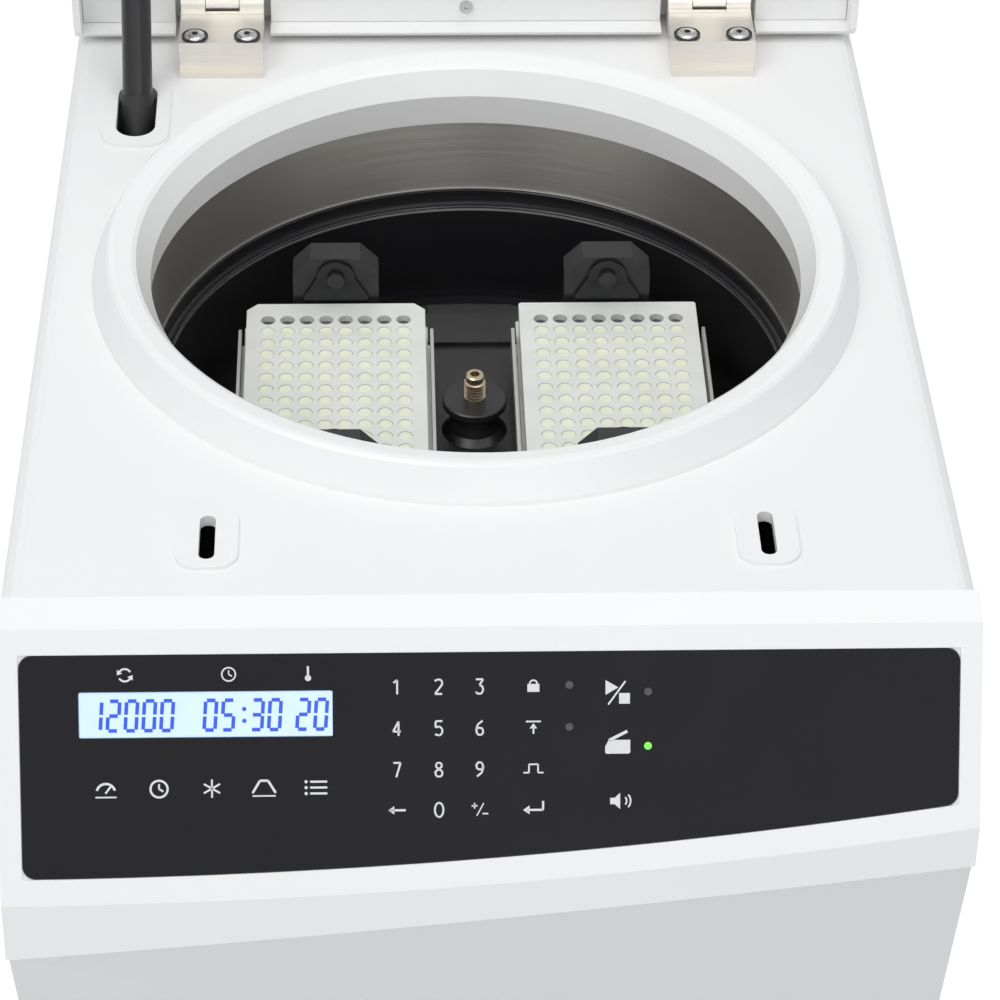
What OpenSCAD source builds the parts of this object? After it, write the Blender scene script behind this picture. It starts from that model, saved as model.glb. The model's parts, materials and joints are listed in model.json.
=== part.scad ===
// Refrigerated benchtop centrifuge for two microplates, shown with its lid open.
// Millimetres, +Z up, the front towards -Y, the origin under the middle of the overall box.

/* [Body] */
// Overall depth, console front to rear fittings
body_depth = 660; // [650:1:680]
// Height of the deck above the bench
deck_z = 330; // [325:1:340]
// How far the console stands out past the deck on each side
console_proud = 0.4; // [0.2:0.1:2]
// Width of the deck at its front fold
deck_front_w = 391.2; // [386:0.2:396]
// Width of the deck behind the lid hinge
deck_rear_w = 375.4; // [372:0.2:382]
// Place of the hinge-side end of the deck taper
taper_y = 160; // [155:1:165]
// Sheet thickness of the housing
sheet = 3; // [2:0.5:3]
// Wall of the moulded pieces
wall = 3.5; // [3:0.25:4]
// Depth of the deck cover's rim
rim_h = 20; // [16:1:24]
// Rounding of the deck cover's edges
deck_round = 8; // [5:1:10]
// How far the fittings stand out of the rear panel
rear_trim = 2; // [1.5:0.5:3]

/* [Feet] */
// Height of a foot
foot_h = 14; // [10:1:18]
// Radius of a foot
foot_r = 18; // [14:1:22]
// Feet from the middle, to the side
foot_x = 150; // [140:1:160]
// Front feet, towards the front
foot_front_y = -205; // [-210:1:-190]
// Rear feet, towards the rear
foot_rear_y = 285; // [270:1:295]

/* [Console] */
// Height of the bevel line below the deck
bevel_drop = 5; // [4:0.5:6]
// Depth of the bevel
bevel_run = 14.3; // [12:0.1:16]
// Length of the sloping face at its left end
face_len = 112; // [108:1:116]
// Lean of the sloping face from the vertical
face_lean = 29.5; // [27:0.5:32]
// Plan radius of the console front
front_r = 5520; // [5000:20:6000]
// Height of the upright band at its left end
band_left = 30; // [26:1:34]
// Rise of the band's lower edge, left to right
band_rise = 33.3; // [28:0.1:36]
// Depth of the lower front at its foot
lower_run = 12; // [9:1:16]
// Margin of the membrane panel at each side
panel_side = 9; // [7:0.5:13]
// Top margin of the membrane panel
panel_top = 10.5; // [9:0.5:12]
// Bottom margin of the membrane panel
panel_bottom = 11; // [10:0.5:13]
// Thickness of the membrane panel
panel_t = 0.8; // [0.6:0.1:1.2]
// Width of the display
display_w = 100.9; // [96:0.1:104]
// Height of the display
display_h = 18.7; // [16:0.1:20]
// Middle of the display, across
display_x = -113.2; // [-118:0.1:-108]
// Middle of the display, down the face
display_s = 34.6; // [32:0.1:38]
// Radius of a status lamp
lamp_r = 1.6; // [1.2:0.1:2]

/* [Chamber] */
// Place of the chamber axis, front to rear
chamber_y = -34; // [-38:1:-30]
// Inner radius of the upper chamber wall
chamber_r = 146; // [145:0.5:147]
// Inner radius of the bowl
bowl_r = 141; // [139:0.5:142]
// Height of the ledge below the deck
ledge_drop = 61; // [57:1:65]
// Depth of the bowl floor below the deck
floor_drop = 125; // [124:1:128]
// Sheet thickness of the chamber
chamber_t = 1.2; // [1:0.1:1.5]
// Corner radius of the bowl
bowl_corner = 22; // [16:1:26]
// Outer radius of the gasket
gasket_r = 170.5; // [168:0.5:172]
// Height of the gasket above the deck
gasket_h = 16.3; // [15:0.1:16.3]
// Depth of the gasket skirt below the deck
gasket_skirt = 14; // [12:1:16]
// Thickness of the insulation beside the bowl
insulation_t = 7.2; // [6:0.1:7.6]

/* [Drive] */
// Thickness of the motor plate
motor_plate_t = 6; // [5:0.5:7]
// Radius of the motor plate
motor_plate_r = 150; // [148:1:152]
// Radius of the motor plate's legs
leg_r = 8; // [6:0.5:9]
// Height of a damper
damper_h = 12; // [10:1:14]
// Radius of a damper
damper_r = 9; // [7:0.5:10]
// Radius of the motor
motor_r = 52; // [48:1:56]
// Length of the motor
motor_h = 98; // [90:1:104]
// Radius of the motor shaft
shaft_r = 8; // [7:0.5:8.5]
// Running clearance of a shaft or pin
run_gap = 0.05; // [0.03:0.01:0.08]
// Gap between pieces that pass each other
pass_gap = 0.3; // [0.25:0.05:0.4]

/* [Rotor] */
// Carriers from the axis
carrier_x = 63.5; // [63:0.25:66]
// Depth of the carrier pivots below the deck
pivot_drop = 48; // [46:0.5:50]
// Radius of a carrier pivot pin
pivot_r = 4; // [3:0.25:4.5]
// Inner face of a post
post_y = 66; // [66:0.5:68]
// Thickness of a post
post_t = 13.5; // [12:0.5:15]
// Width of a post
post_w = 40; // [36:1:44]
// Width of a post's top
post_top_w = 23; // [20:1:26]
// Height of a post above its pivot
post_up = 10; // [9.5:0.5:12]
// Width of the middle bar
bar_w = 40; // [36:1:42]
// Length of the middle bar
bar_l = 200; // [190:1:210]
// Depth of the bar's top below the deck
bar_drop = 88; // [87:1:90]
// Thickness of the bar and arms
bar_t = 18; // [15:1:20]
// Width of the cross arms
arm_w = 24; // [20:1:26]
// Radius of the hub cap
cap_r = 14.7; // [13:0.1:15.5]
// Height of the hub cap above the bar
cap_h = 18; // [16:1:20]
// Radius of the lock screw
screw_r = 4.8; // [4:0.1:5]
// Height of the lock screw above the cap
screw_h = 13.4; // [12:0.1:15]

/* [Carriers and plates] */
// Width of a microplate
plate_w = 85.48; // [85:0.01:86]
// Length of a microplate
plate_l = 127.76; // [127:0.01:128]
// Height of a microplate
plate_h = 14.35; // [14:0.05:14.6]
// Depth of the plate's top below the pivot
plate_drop = 13; // [12:0.5:15]
// Pitch of the wells
well_pitch = 9; // [8.9:0.05:9]
// Radius of a well
well_r = 3.4; // [3:0.05:3.6]
// Depth of a well
well_depth = 10.9; // [10:0.1:11.5]
// Sheet thickness of a carrier
tray_t = 1.5; // [1:0.1:1.6]
// Outer width of a carrier
tray_w = 90.7; // [90:0.1:92]
// Height of a carrier's side wall
tray_wall_h = 11; // [8:1:13]
// Length of a carrier's side wall
tray_wall_l = 98; // [90:1:104]

/* [Lid] */
// Length of the lid, hinge end to front end
lid_len = 446; // [442:1:447]
// How far the lid overhangs the deck on each side at its hinge end
lid_rear_out = 1.9; // [0.5:0.1:3]
// How far the lid stands in from the deck's edge on each side at its front end
lid_front_in = 0.6; // [0.2:0.1:2]
// Thickness of the lid
lid_t = 50; // [48:1:54]
// Gap between the closed lid and the deck
lid_gap = 3; // [2.5:0.5:4]
// Recess of the lid's inner panel
lid_recess = 13.6; // [13.6:0.1:15]
// Thickness of the lid's inner panel
lid_panel_t = 2.5; // [2:0.25:3]
// Rounding of the lid's edges
lid_round = 12; // [8:1:14]
// Lid hinge axis above the deck
hinge_up = 18; // [18:0.5:19]
// Lid hinge axis, front to rear
hinge_y = 173; // [172:0.5:174]
// Hinges from the middle
hinge_x = 118; // [112:1:122]
// Width of a hinge block
hinge_w = 40; // [38:1:41]
// Width of the lid's knuckle
knuckle_w = 16; // [14:1:18]
// Radius of a knuckle
knuckle_r = 8.5; // [7.5:0.5:9]
// Radius of a hinge pin
hinge_pin_r = 4; // [3:0.25:4.5]
// Radius of the lid's viewing port
port_r = 26; // [22:1:30]

/* [Lock] */
// Lock slots from the middle
slot_x = 113.6; // [110:0.2:118]
// Lock slots, front to rear
slot_y = -225; // [-226:0.5:-224]
// Width of a lock slot
slot_w = 6.5; // [6:0.25:8]
// Length of a lock slot
slot_l = 28; // [27:1:30]
// Thickness of a lid hook
hook_t = 4; // [3:0.25:4.5]
// Length of a lid hook, front to rear
hook_l = 14; // [13:1:16]
// Reach of a lid hook below the deck
hook_drop = 34; // [32:1:36]
// Travel of the lock slide
lock_travel = 12; // [11:0.5:13]

/* [Gas spring] */
// Gas spring from the middle
spring_x = -157; // [-158:0.5:-156]
// Lower pivot, front to rear
spring_low_y = 7; // [5:0.5:8]
// Lower pivot above the bench
spring_low_z = 157; // [155:1:159]
// Upper pivot with the lid open, front to rear
spring_top_y = 164; // [163:0.5:164.5]
// Upper pivot with the lid open, above the deck
spring_top_up = 98; // [96:1:100]
// Radius of the gas spring's cylinder
spring_r = 7; // [6:0.25:7.25]
// Length of the gas spring's cylinder
spring_len = 165; // [160:1:168]
// Radius of the gas spring's rod
rod_r = 4; // [3:0.25:4.5]
// Radius of the gas spring's eyes
eye_r = 6.5; // [6:0.25:6.5]
// Radius of the gas spring's pivot studs
stud_r = 3; // [2.5:0.25:3.5]

/* [Rear unit] */
// Radius of the compressor
compressor_r = 58; // [50:1:60]
// Height of the compressor
compressor_h = 150; // [140:1:160]
// Middle of the compressor, across
compressor_x = -100; // [-105:1:-95]
// Middle of the compressor from the rear panel
compressor_back = 90; // [86:1:96]
// Face of the power board from the rear panel
board_back = 178; // [176:1:182]
// Width of the power board
board_w = 150; // [130:1:156]
// Height of the power board
board_h = 132; // [110:1:140]
// Width of the condenser
condenser_w = 150; // [140:1:156]
// Height of the condenser
condenser_h = 150; // [140:1:160]
// Depth of the condenser
condenser_t = 34; // [28:1:36]
// Number of condenser fins
fin_count = 24; // [16:1:30]
// Middle of the condenser, across
condenser_x = 84; // [82:1:92]
// Radius of the fan
fan_r = 62; // [56:1:64]
// Number of fan blades
blade_count = 7; // [5:1:9]
// Number of rear louvres
louvre_count = 12; // [8:1:14]
// Pitch of the rear louvres
louvre_pitch = 11; // [10:0.5:11]
// Width of a vent slot
vent_w = 6; // [4:0.5:7]
// Length of a vent slot in the floor
vent_l = 70; // [60:1:76]
// Number of vent slots in each row of the floor
vent_count = 8; // [5:1:9]
// Pitch of the vent slots in the floor
vent_pitch = 14; // [12:0.5:15]

/* [Hidden] */
$fn = 96;

console_w = deck_front_w + 2 * console_proud;
panel_w = console_w - 2 * panel_side;
lid_rear_w = deck_rear_w + 2 * lid_rear_out;
lid_front_w = deck_front_w - 2 * lid_front_in;
rear_y = body_depth / 2 - rear_trim;
compressor_y = rear_y - compressor_back;
vent_front_y = rear_y - 208;
side_vent_y = rear_y - 138;
front_y = -body_depth / 2;
slope_y = sin(face_lean);
slope_z = cos(face_lean);
bevel_y = front_y + face_len * slope_y;
bevel_z = deck_z - bevel_drop;
fold_y = bevel_y + bevel_run;
console_back = fold_y + 20.7;
front_x = 1 - console_w / 2;
band_z = bevel_z - face_len * slope_z - band_left;
band_tilt = atan2(band_rise, console_w);
rim_z = deck_z - rim_h;
deck_under = deck_z - wall;
floor_z = foot_h + sheet;
chassis_t = 3;
chassis_z = floor_z + chassis_t;
bowl_z = deck_z - floor_drop;
ledge_z = deck_z - ledge_drop;
chamber_out = chamber_r + chamber_t;
foam_out = chamber_out + pass_gap + insulation_t;
motor_plate_z = bowl_z - 24;
seal_r = 22;
neck_r = 14;
pivot_z = deck_z - pivot_drop;
bar_z = deck_z - bar_drop;
plate_top_z = pivot_z - plate_drop;
plate_z = plate_top_z - plate_h;
ear_y = post_y - pass_gap - tray_t;
hinge_z = deck_z + hinge_up;
lid_front_y = 2 * hinge_y - (hinge_y - hinge_up + lid_gap) - lid_len;
lid_z = deck_z + lid_gap;
lid_rear_y = hinge_y + hinge_up - lid_gap;
lid_panel_z = lid_z + lid_recess;
notch_w = hinge_w + 6;
notch_z = hinge_z + knuckle_r + 2.5;
spring_top_z = deck_z + spring_top_up;
spring_dy = spring_top_y - spring_low_y;
spring_dz = spring_top_z - spring_low_z;
spring_open = sqrt(spring_dy * spring_dy + spring_dz * spring_dz);
spring_lean = atan2(spring_dy, spring_dz);

// Half the housing's width at a place front to rear
function side_x(y) =
    (y >= taper_y ? deck_rear_w
                  : deck_rear_w + (deck_front_w - deck_rear_w) * (taper_y - y) / (taper_y - fold_y)) / 2;

// Half the lid's width at a place front to rear, with the lid closed
function lid_x(y) =
    (lid_rear_w + (lid_front_w - lid_rear_w) * (lid_rear_y - y) / lid_len) / 2;

// Outline of the housing between two places, drawn in by an inset
module housing_plan(front, rear, inset) {
    right = [[side_x(front) - inset, front], [side_x(taper_y) - inset, taper_y], [side_x(rear) - inset, rear]];
    left = [[inset - side_x(rear), rear], [inset - side_x(taper_y), taper_y], [inset - side_x(front), front]];
    polygon(concat(right, left));
}

// Outline of the closed lid, drawn in by an inset
module lid_plan(inset) {
    front = lid_front_y + inset;
    rear = lid_rear_y - inset;
    polygon([[lid_x(front) - inset, front], [lid_x(rear) - inset, rear],
             [inset - lid_x(rear), rear], [inset - lid_x(front), front]]);
}

// Flat rounded rectangle about the origin
module rounded_rect(width, length, radius) {
    square([width - 2 * radius, length], center = true);
    square([width, length - 2 * radius], center = true);
    for (side = [-1, 1]) {
        for (end = [-1, 1]) {
            translate([side * (width / 2 - radius), end * (length / 2 - radius)]) circle(radius);
        }
    }
}

// A box from its lowest corner to its highest
module block(low, high) {
    translate(low) cube(high - low);
}

// Puts children drawn about the sloping face in place: X across, Y up the face, Z out of it
module on_face() {
    translate([0, bevel_y, bevel_z]) rotate([90 - face_lean, 0, 0]) children();
}

// Turns children drawn with the lid closed to the open lid
module lid_open() {
    translate([0, hinge_y, hinge_z]) rotate([-90, 0, 0]) translate([0, -hinge_y, -hinge_z]) children();
}

// Puts children drawn up the Z axis along the gas spring, from its lower pivot
module along_spring() {
    translate([spring_x, spring_low_y, spring_low_z]) rotate([-spring_lean, 0, 0]) children();
}

module feet() {
    color([0.12, 0.12, 0.13])
    for (side = [-1, 1]) {
        for (y = [foot_front_y, foot_rear_y]) {
            translate([side * foot_x, y, 0])
                rotate_extrude()
                    polygon([[0, 0], [foot_r - 2, 0], [foot_r, 2], [foot_r - 3, foot_h], [0, foot_h]]);
        }
    }
}

module housing() {
    color([0.93, 0.93, 0.92])
    difference() {
        translate([0, 0, foot_h]) linear_extrude(rim_z - foot_h) housing_plan(console_back, rear_y - sheet, 0);
        translate([0, 0, floor_z]) linear_extrude(rim_z) housing_plan(console_back + sheet, rear_y, sheet);
        for (side = [-1, 1]) {
            for (i = [0 : vent_count - 1]) {
                translate([side * 60, vent_front_y + i * vent_pitch, foot_h])
                    linear_extrude(3 * sheet, center = true) rounded_rect(vent_l, vent_w, vent_w / 2 - 0.1);
            }
            for (i = [0 : 9]) {
                translate([side * side_x(rear_y), side_vent_y + i * 12, 110])
                    rotate([0, 90, 0]) linear_extrude(4 * sheet, center = true) rounded_rect(110, 5, 2.4);
            }
        }
        block([-60, console_back - 1, 215], [60, console_back + sheet + 1, 245]);
    }
}

module chassis_plate() {
    color([0.62, 0.63, 0.64])
    difference() {
        translate([0, 0, floor_z]) linear_extrude(chassis_t)
            housing_plan(console_back + sheet + 2, rear_y - sheet - 2, sheet + 2);
        for (side = [-1, 1]) {
            for (i = [0 : vent_count - 1]) {
                translate([side * 60, vent_front_y + i * vent_pitch, floor_z])
                    linear_extrude(3 * chassis_t, center = true) rounded_rect(vent_l, vent_w, vent_w / 2 - 0.1);
            }
        }
    }
}

rocker_x = -60;
inlet_x = -120;
inlet_z = 60;

module rear_panel() {
    color([0.93, 0.93, 0.92])
    difference() {
        block([-side_x(rear_y), rear_y - sheet, foot_h], [side_x(rear_y), rear_y, rim_z]);
        for (i = [0 : louvre_count - 1]) {
            translate([condenser_x, rear_y, floor_z + 43 + i * louvre_pitch])
                rotate([90, 0, 0]) linear_extrude(4 * sheet, center = true) rounded_rect(condenser_w - 20, 5, 2.4);
        }
        block([inlet_x - 14.2, rear_y - 2 * sheet, inlet_z - 12.2], [inlet_x + 14.2, rear_y + 1, inlet_z + 12.2]);
        block([rocker_x - 11.2, rear_y - 2 * sheet, inlet_z - 15.2], [rocker_x + 11.2, rear_y + 1, inlet_z + 15.2]);
    }
}

boss_h = 1.6;
spring_slot_w = 2 * spring_r + 4.5;
spring_slot_l = 46;
spring_slot_y = 99.5;

module deck_cover() {
    color([0.95, 0.95, 0.94])
    difference() {
        union() {
            difference() {
                hull() {
                    for (turn = [0 : 22.5 : 90]) {
                        inset = deck_round * (1 - cos(turn));
                        translate([0, 0, deck_z - deck_round + deck_round * sin(turn) - 0.01])
                            linear_extrude(0.01) housing_plan(fold_y, rear_y - inset, inset);
                    }
                    translate([0, 0, rim_z]) linear_extrude(0.01) housing_plan(fold_y, rear_y, 0);
                }
                translate([0, 0, rim_z - 1]) linear_extrude(rim_h + 1 - wall)
                    housing_plan(fold_y - 1, rear_y - wall, wall);
            }
            for (side = [-1, 1]) {
                translate([side * slot_x, slot_y, deck_under]) linear_extrude(wall + boss_h) rounded_rect(25, 39, 9);
            }
            translate([spring_x, spring_slot_y, deck_under])
                linear_extrude(wall + boss_h) rounded_rect(spring_slot_w + 13, spring_slot_l + 15, 11);
        }
        translate([0, chamber_y, deck_under - 1]) cylinder(r = chamber_r + 4, h = wall + 2);
        for (side = [-1, 1]) {
            translate([side * slot_x, slot_y, deck_under - 1])
                linear_extrude(wall + boss_h + 2) rounded_rect(slot_w, slot_l, slot_w / 2 - 0.05);
        }
        translate([spring_x, spring_slot_y, deck_under - 1])
            linear_extrude(wall + boss_h + 2) rounded_rect(spring_slot_w, spring_slot_l, spring_slot_w / 2 - 0.05);
    }
}

// Solid form of the console: its side profile cut to the curved front
module console_form(half_w) {
    reach = face_len + 20;
    intersection() {
        rotate([90, 0, 90]) linear_extrude(2 * half_w, center = true)
            polygon([[fold_y, deck_z], [bevel_y, bevel_z],
                     [bevel_y - reach * slope_y, bevel_z - reach * slope_z],
                     [bevel_y - reach * slope_y, band_z - 5], [console_back, band_z - 5],
                     [console_back, rim_z], [fold_y, rim_z]]);
        translate([front_x, front_y + front_r, 0]) cylinder(r = front_r, h = deck_z + 1, $fn = 1440);
    }
}

// Everything below the band's lower edge
module below_band() {
    translate([-console_w / 2, 0, band_z]) rotate([0, -band_tilt, 0])
        translate([-50, -body_depth, -200]) cube([console_w + 150, body_depth, 200]);
}

// Outline of the membrane panel on the sloping face, grown by a margin
module panel_outline(margin) {
    arc_r = front_r * slope_y;
    low = -face_len + panel_bottom;
    intersection() {
        translate([-panel_w / 2 - margin, low - margin]) square([panel_w + 2 * margin, -low - panel_top + 2 * margin]);
        translate([front_x, low + arc_r]) circle(r = arc_r + margin, $fn = 1440);
    }
}

lamp_places = [[31.1, 24], [31.1, 41], [62.5, 27], [62.5, 49]];

module front_console() {
    color([0.95, 0.95, 0.94])
    difference() {
        console_form(console_w / 2);
        below_band();
        translate([0, wall * slope_z, -wall * slope_y]) console_form(console_w / 2 - wall);
        block([wall - console_w / 2, console_back - 1, band_z - 10], [console_w / 2 - wall, console_back + 1, rim_z]);
        on_face() translate([0, 0, -panel_t]) linear_extrude(2 * panel_t) panel_outline(pass_gap);
        on_face() translate([display_x - display_w / 2, -display_s - display_h / 2, -2 * wall])
            cube([display_w, display_h, 3 * wall]);
        for (p = lamp_places) {
            on_face() translate([p[0], -p[1], -2 * wall]) cylinder(r = lamp_r + pass_gap, h = 3 * wall);
        }
    }
}

// Solid form of the lower front, drawn in by an inset
module lower_form(inset) {
    half_w = console_w / 2 - 1 - inset;
    hull() {
        intersection() {
            translate([front_x, front_y + front_r + inset, 0]) cylinder(r = front_r - 2, h = deck_z, $fn = 1440);
            block([-half_w, front_y, band_z - 1], [half_w, console_back + inset, deck_z]);
            translate([-console_w / 2, 0, band_z]) rotate([0, -band_tilt, 0])
                translate([-10, -body_depth, -1]) cube([console_w + 30, body_depth, 1]);
        }
        block([-half_w, console_back - lower_run + inset, foot_h], [half_w, console_back + inset, foot_h + 1]);
    }
}

module lower_front() {
    color([0.87, 0.88, 0.9])
    difference() {
        lower_form(0);
        translate([0, 0, wall]) lower_form(wall);
        block([-console_w / 2, console_back, 0], [console_w / 2, 0, deck_z]);
    }
}

module membrane_panel() {
    color([0.17, 0.17, 0.2])
    difference() {
        on_face() translate([0, 0, -panel_t]) linear_extrude(panel_t) panel_outline(0);
        on_face() translate([display_x - display_w / 2, -display_s - display_h / 2, -2])
            cube([display_w, display_h, 4]);
        for (p = lamp_places) {
            on_face() translate([p[0], -p[1], -2]) cylinder(r = lamp_r + pass_gap, h = 4);
        }
    }
}

board_depth = 9;

module display_window() {
    color([0.78, 0.86, 0.98])
    on_face() translate([display_x, -display_s, -board_depth])
        translate([0.3 - display_w / 2, 0.3 - display_h / 2, 0])
            cube([display_w - 0.6, display_h - 0.6, board_depth - 0.3]);
}

module status_lamps() {
    color([0.3, 0.8, 0.4])
    for (p = lamp_places) {
        on_face() translate([p[0], -p[1], -board_depth]) cylinder(r = lamp_r, h = board_depth - 0.3);
    }
}

module display_board() {
    board_t = 1.6;
    color([0.1, 0.35, 0.2])
    on_face() {
        translate([-170, -78, -board_depth - board_t]) cube([340, 66, board_t]);
        for (x = [-160, 0, 160]) {
            for (s = [16, 74]) {
                translate([x, -s, -board_depth]) cylinder(r = 3, h = board_depth - wall);
            }
        }
    }
}

module chamber_gasket() {
    color([0.96, 0.96, 0.95])
    translate([0, chamber_y, deck_z])
        rotate_extrude($fn = 180)
            polygon([[gasket_r, 0], [gasket_r - 0.4, 2], [gasket_r - 6.6, gasket_h - 1.2],
                     [gasket_r - 8, gasket_h], [gasket_r - 10.5, gasket_h], [chamber_r + 6.5, gasket_h - 2],
                     [chamber_r + 4.6, gasket_h - 3.4], [chamber_r - 1.4, 1.6], [chamber_r - 0.2, -gasket_skirt],
                     [chamber_r + 3.5, -gasket_skirt], [chamber_r + 3.5, 0]]);
}

module chamber_wall() {
    color([0.62, 0.62, 0.62])
    translate([0, chamber_y, 0])
        rotate_extrude($fn = 180)
            polygon([[bowl_r, ledge_z], [chamber_out, ledge_z], [chamber_out, deck_z - gasket_skirt],
                     [chamber_r, deck_z - gasket_skirt], [chamber_r, ledge_z + chamber_t],
                     [bowl_r, ledge_z + chamber_t]]);
}

module chamber_bowl() {
    turns = [0 : 10 : 90];
    in_r = bowl_r - bowl_corner;
    color([0.1, 0.1, 0.11])
    translate([0, chamber_y, 0])
        rotate_extrude($fn = 180)
            polygon(concat([[bowl_r + chamber_t + 3, ledge_z], [bowl_r, ledge_z]],
                [for (a = turns) [in_r + bowl_corner * cos(a), bowl_z + bowl_corner - bowl_corner * sin(a)]],
                [[seal_r, bowl_z], [seal_r, bowl_z - chamber_t]],
                [for (a = [90 : -10 : 0])
                    [in_r + (bowl_corner + chamber_t) * cos(a),
                     bowl_z + bowl_corner - (bowl_corner + chamber_t) * sin(a)]],
                [[bowl_r + chamber_t, ledge_z - chamber_t], [bowl_r + chamber_t + 3, ledge_z - chamber_t]]));
}

module insulation_jacket() {
    color([0.75, 0.72, 0.6])
    translate([0, chamber_y, 0])
    difference() {
        translate([0, 0, motor_plate_z]) cylinder(r = foam_out, h = deck_z - gasket_skirt - motor_plate_z - 2);
        translate([0, 0, ledge_z - chamber_t]) cylinder(r = chamber_out + pass_gap, h = floor_drop);
        translate([0, 0, bowl_z - chamber_t]) cylinder(r = bowl_r + chamber_t + pass_gap, h = floor_drop);
        translate([0, 0, motor_plate_z - 1]) cylinder(r = 40, h = floor_drop);
    }
}

module shaft_seal() {
    color([0.15, 0.15, 0.15])
    translate([0, chamber_y, 0])
    difference() {
        union() {
            translate([0, 0, bowl_z - chamber_t]) cylinder(r = seal_r - 0.02, h = chamber_t);
            translate([0, 0, bowl_z]) cylinder(r = seal_r + 3, h = 2);
        }
        translate([0, 0, bowl_z - 10]) cylinder(r = neck_r + 0.02, h = 20);
    }
}

module motor_plate() {
    color([0.6, 0.61, 0.62])
    translate([0, chamber_y, 0])
    difference() {
        union() {
            translate([0, 0, motor_plate_z - motor_plate_t]) cylinder(r = motor_plate_r, h = motor_plate_t);
            for (turn = [45 : 90 : 315]) {
                rotate([0, 0, turn]) translate([motor_plate_r - 2 * leg_r, 0, chassis_z])
                    cylinder(r = leg_r, h = motor_plate_z - chassis_z - 1);
            }
        }
        translate([0, 0, motor_plate_z - 20]) cylinder(r = 24, h = 40);
    }
}

flange_z = motor_plate_z - motor_plate_t - damper_h;
damper_ring = 50;

module motor_dampers() {
    color([0.1, 0.1, 0.1])
    translate([0, chamber_y, flange_z])
        for (turn = [0 : 120 : 240]) {
            rotate([0, 0, turn]) translate([damper_ring, 0, 0]) cylinder(r = damper_r, h = damper_h);
        }
}

module motor_housing() {
    color([0.3, 0.31, 0.33])
    translate([0, chamber_y, 0])
    difference() {
        union() {
            translate([0, 0, flange_z - 5]) cylinder(r = damper_ring + damper_r + 3, h = 5);
            translate([0, 0, flange_z - 5 - motor_h]) cylinder(r = motor_r, h = motor_h);
            translate([0, 0, flange_z - 1]) cylinder(r = neck_r, h = bowl_z + 3 - flange_z);
        }
        for (turn = [0 : 15 : 345]) {
            rotate([0, 0, turn]) translate([motor_r, 0, flange_z - 5 - motor_h + 14])
                translate([-3, -1.5, 0]) cube([6, 3, motor_h - 28]);
        }
        translate([0, 0, flange_z - motor_h + 5]) cylinder(r = shaft_r + run_gap, h = 2 * motor_h);
    }
}

module motor_shaft() {
    low = flange_z - motor_h + 5 + pass_gap;
    color([0.7, 0.7, 0.72])
    translate([0, chamber_y, low]) cylinder(r = shaft_r, h = bar_z - low);
}

module rotor_yoke() {
    hub_z = bowl_z + 7;
    arm_y = post_y + arm_w / 2;
    corner = (post_w - post_top_w) / 2;
    color([0.13, 0.13, 0.14])
    translate([0, chamber_y, 0])
    difference() {
        union() {
            translate([0, 0, bar_z - bar_t / 2]) cube([bar_w, bar_l, bar_t], center = true);
            for (end = [-1, 1]) {
                translate([0, end * arm_y, bar_z - bar_t / 2 + 2])
                    cube([2 * carrier_x + post_w, arm_w, bar_t], center = true);
                for (side = [-1, 1]) {
                    translate([side * carrier_x, end * (post_y + post_t / 2), 0])
                        rotate([90, 0, 0]) linear_extrude(post_t, center = true)
                            polygon([[-post_w / 2, bar_z - 4], [post_w / 2, bar_z - 4],
                                     [post_w / 2, pivot_z + post_up - corner],
                                     [post_top_w / 2, pivot_z + post_up], [-post_top_w / 2, pivot_z + post_up],
                                     [-post_w / 2, pivot_z + post_up - corner]]);
                }
            }
            translate([0, 0, hub_z]) cylinder(r1 = 33, r2 = 22, h = bar_z - bar_t - hub_z + 3);
        }
        translate([0, 0, hub_z - 1]) cylinder(r = shaft_r + 0.02, h = bar_z);
        for (side = [-1, 1]) {
            translate([side * carrier_x, 0, pivot_z]) rotate([90, 0, 0])
                cylinder(r = pivot_r + 0.02, h = 2 * (post_y + post_t + 5), center = true);
            for (end = [-1, 1]) {
                translate([side * 52, end * (post_y + arm_w / 2), bar_z - 30]) cylinder(r = 6, h = 60);
            }
        }
    }
}

module rotor_cap() {
    color([0.16, 0.16, 0.17])
    translate([0, chamber_y, bar_z])
    difference() {
        rotate_extrude()
            polygon([[0, 0], [15, 0], [12, 3], [11, 7], [11, cap_h - 4], [cap_r - 0.6, cap_h - 4],
                     [cap_r, cap_h - 3.4], [cap_r, cap_h - 0.6], [cap_r - 0.6, cap_h], [0, cap_h]]);
        translate([0, 0, 2]) cylinder(r = screw_r + 0.02, h = cap_h);
    }
}

module rotor_lock_screw() {
    color([0.68, 0.6, 0.45])
    translate([0, chamber_y, bar_z])
    difference() {
        union() {
            translate([0, 0, 2]) cylinder(r = screw_r, h = cap_h - 2 + screw_h - 3);
            translate([0, 0, cap_h]) cylinder(r = screw_r + 0.15, h = 1.6);
            for (i = [0 : 4]) {
                translate([0, 0, cap_h + 2.6 + i * 1.5]) cylinder(r1 = screw_r, r2 = screw_r + 0.15, h = 0.7);
            }
            translate([0, 0, cap_h]) cylinder(r = 3.6, h = screw_h);
        }
        translate([0, 0, cap_h + screw_h - 5]) cylinder(r = 2.3, h = 6, $fn = 6);
    }
}

module trunnion_pins() {
    color([0.72, 0.72, 0.74])
    for (side = [-1, 1]) {
        for (end = [-1, 1]) {
            translate([side * carrier_x, chamber_y + end * (post_y - 4), pivot_z])
                rotate([-90 * end, 0, 0]) cylinder(r = pivot_r, h = post_t);
        }
    }
}

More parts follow.
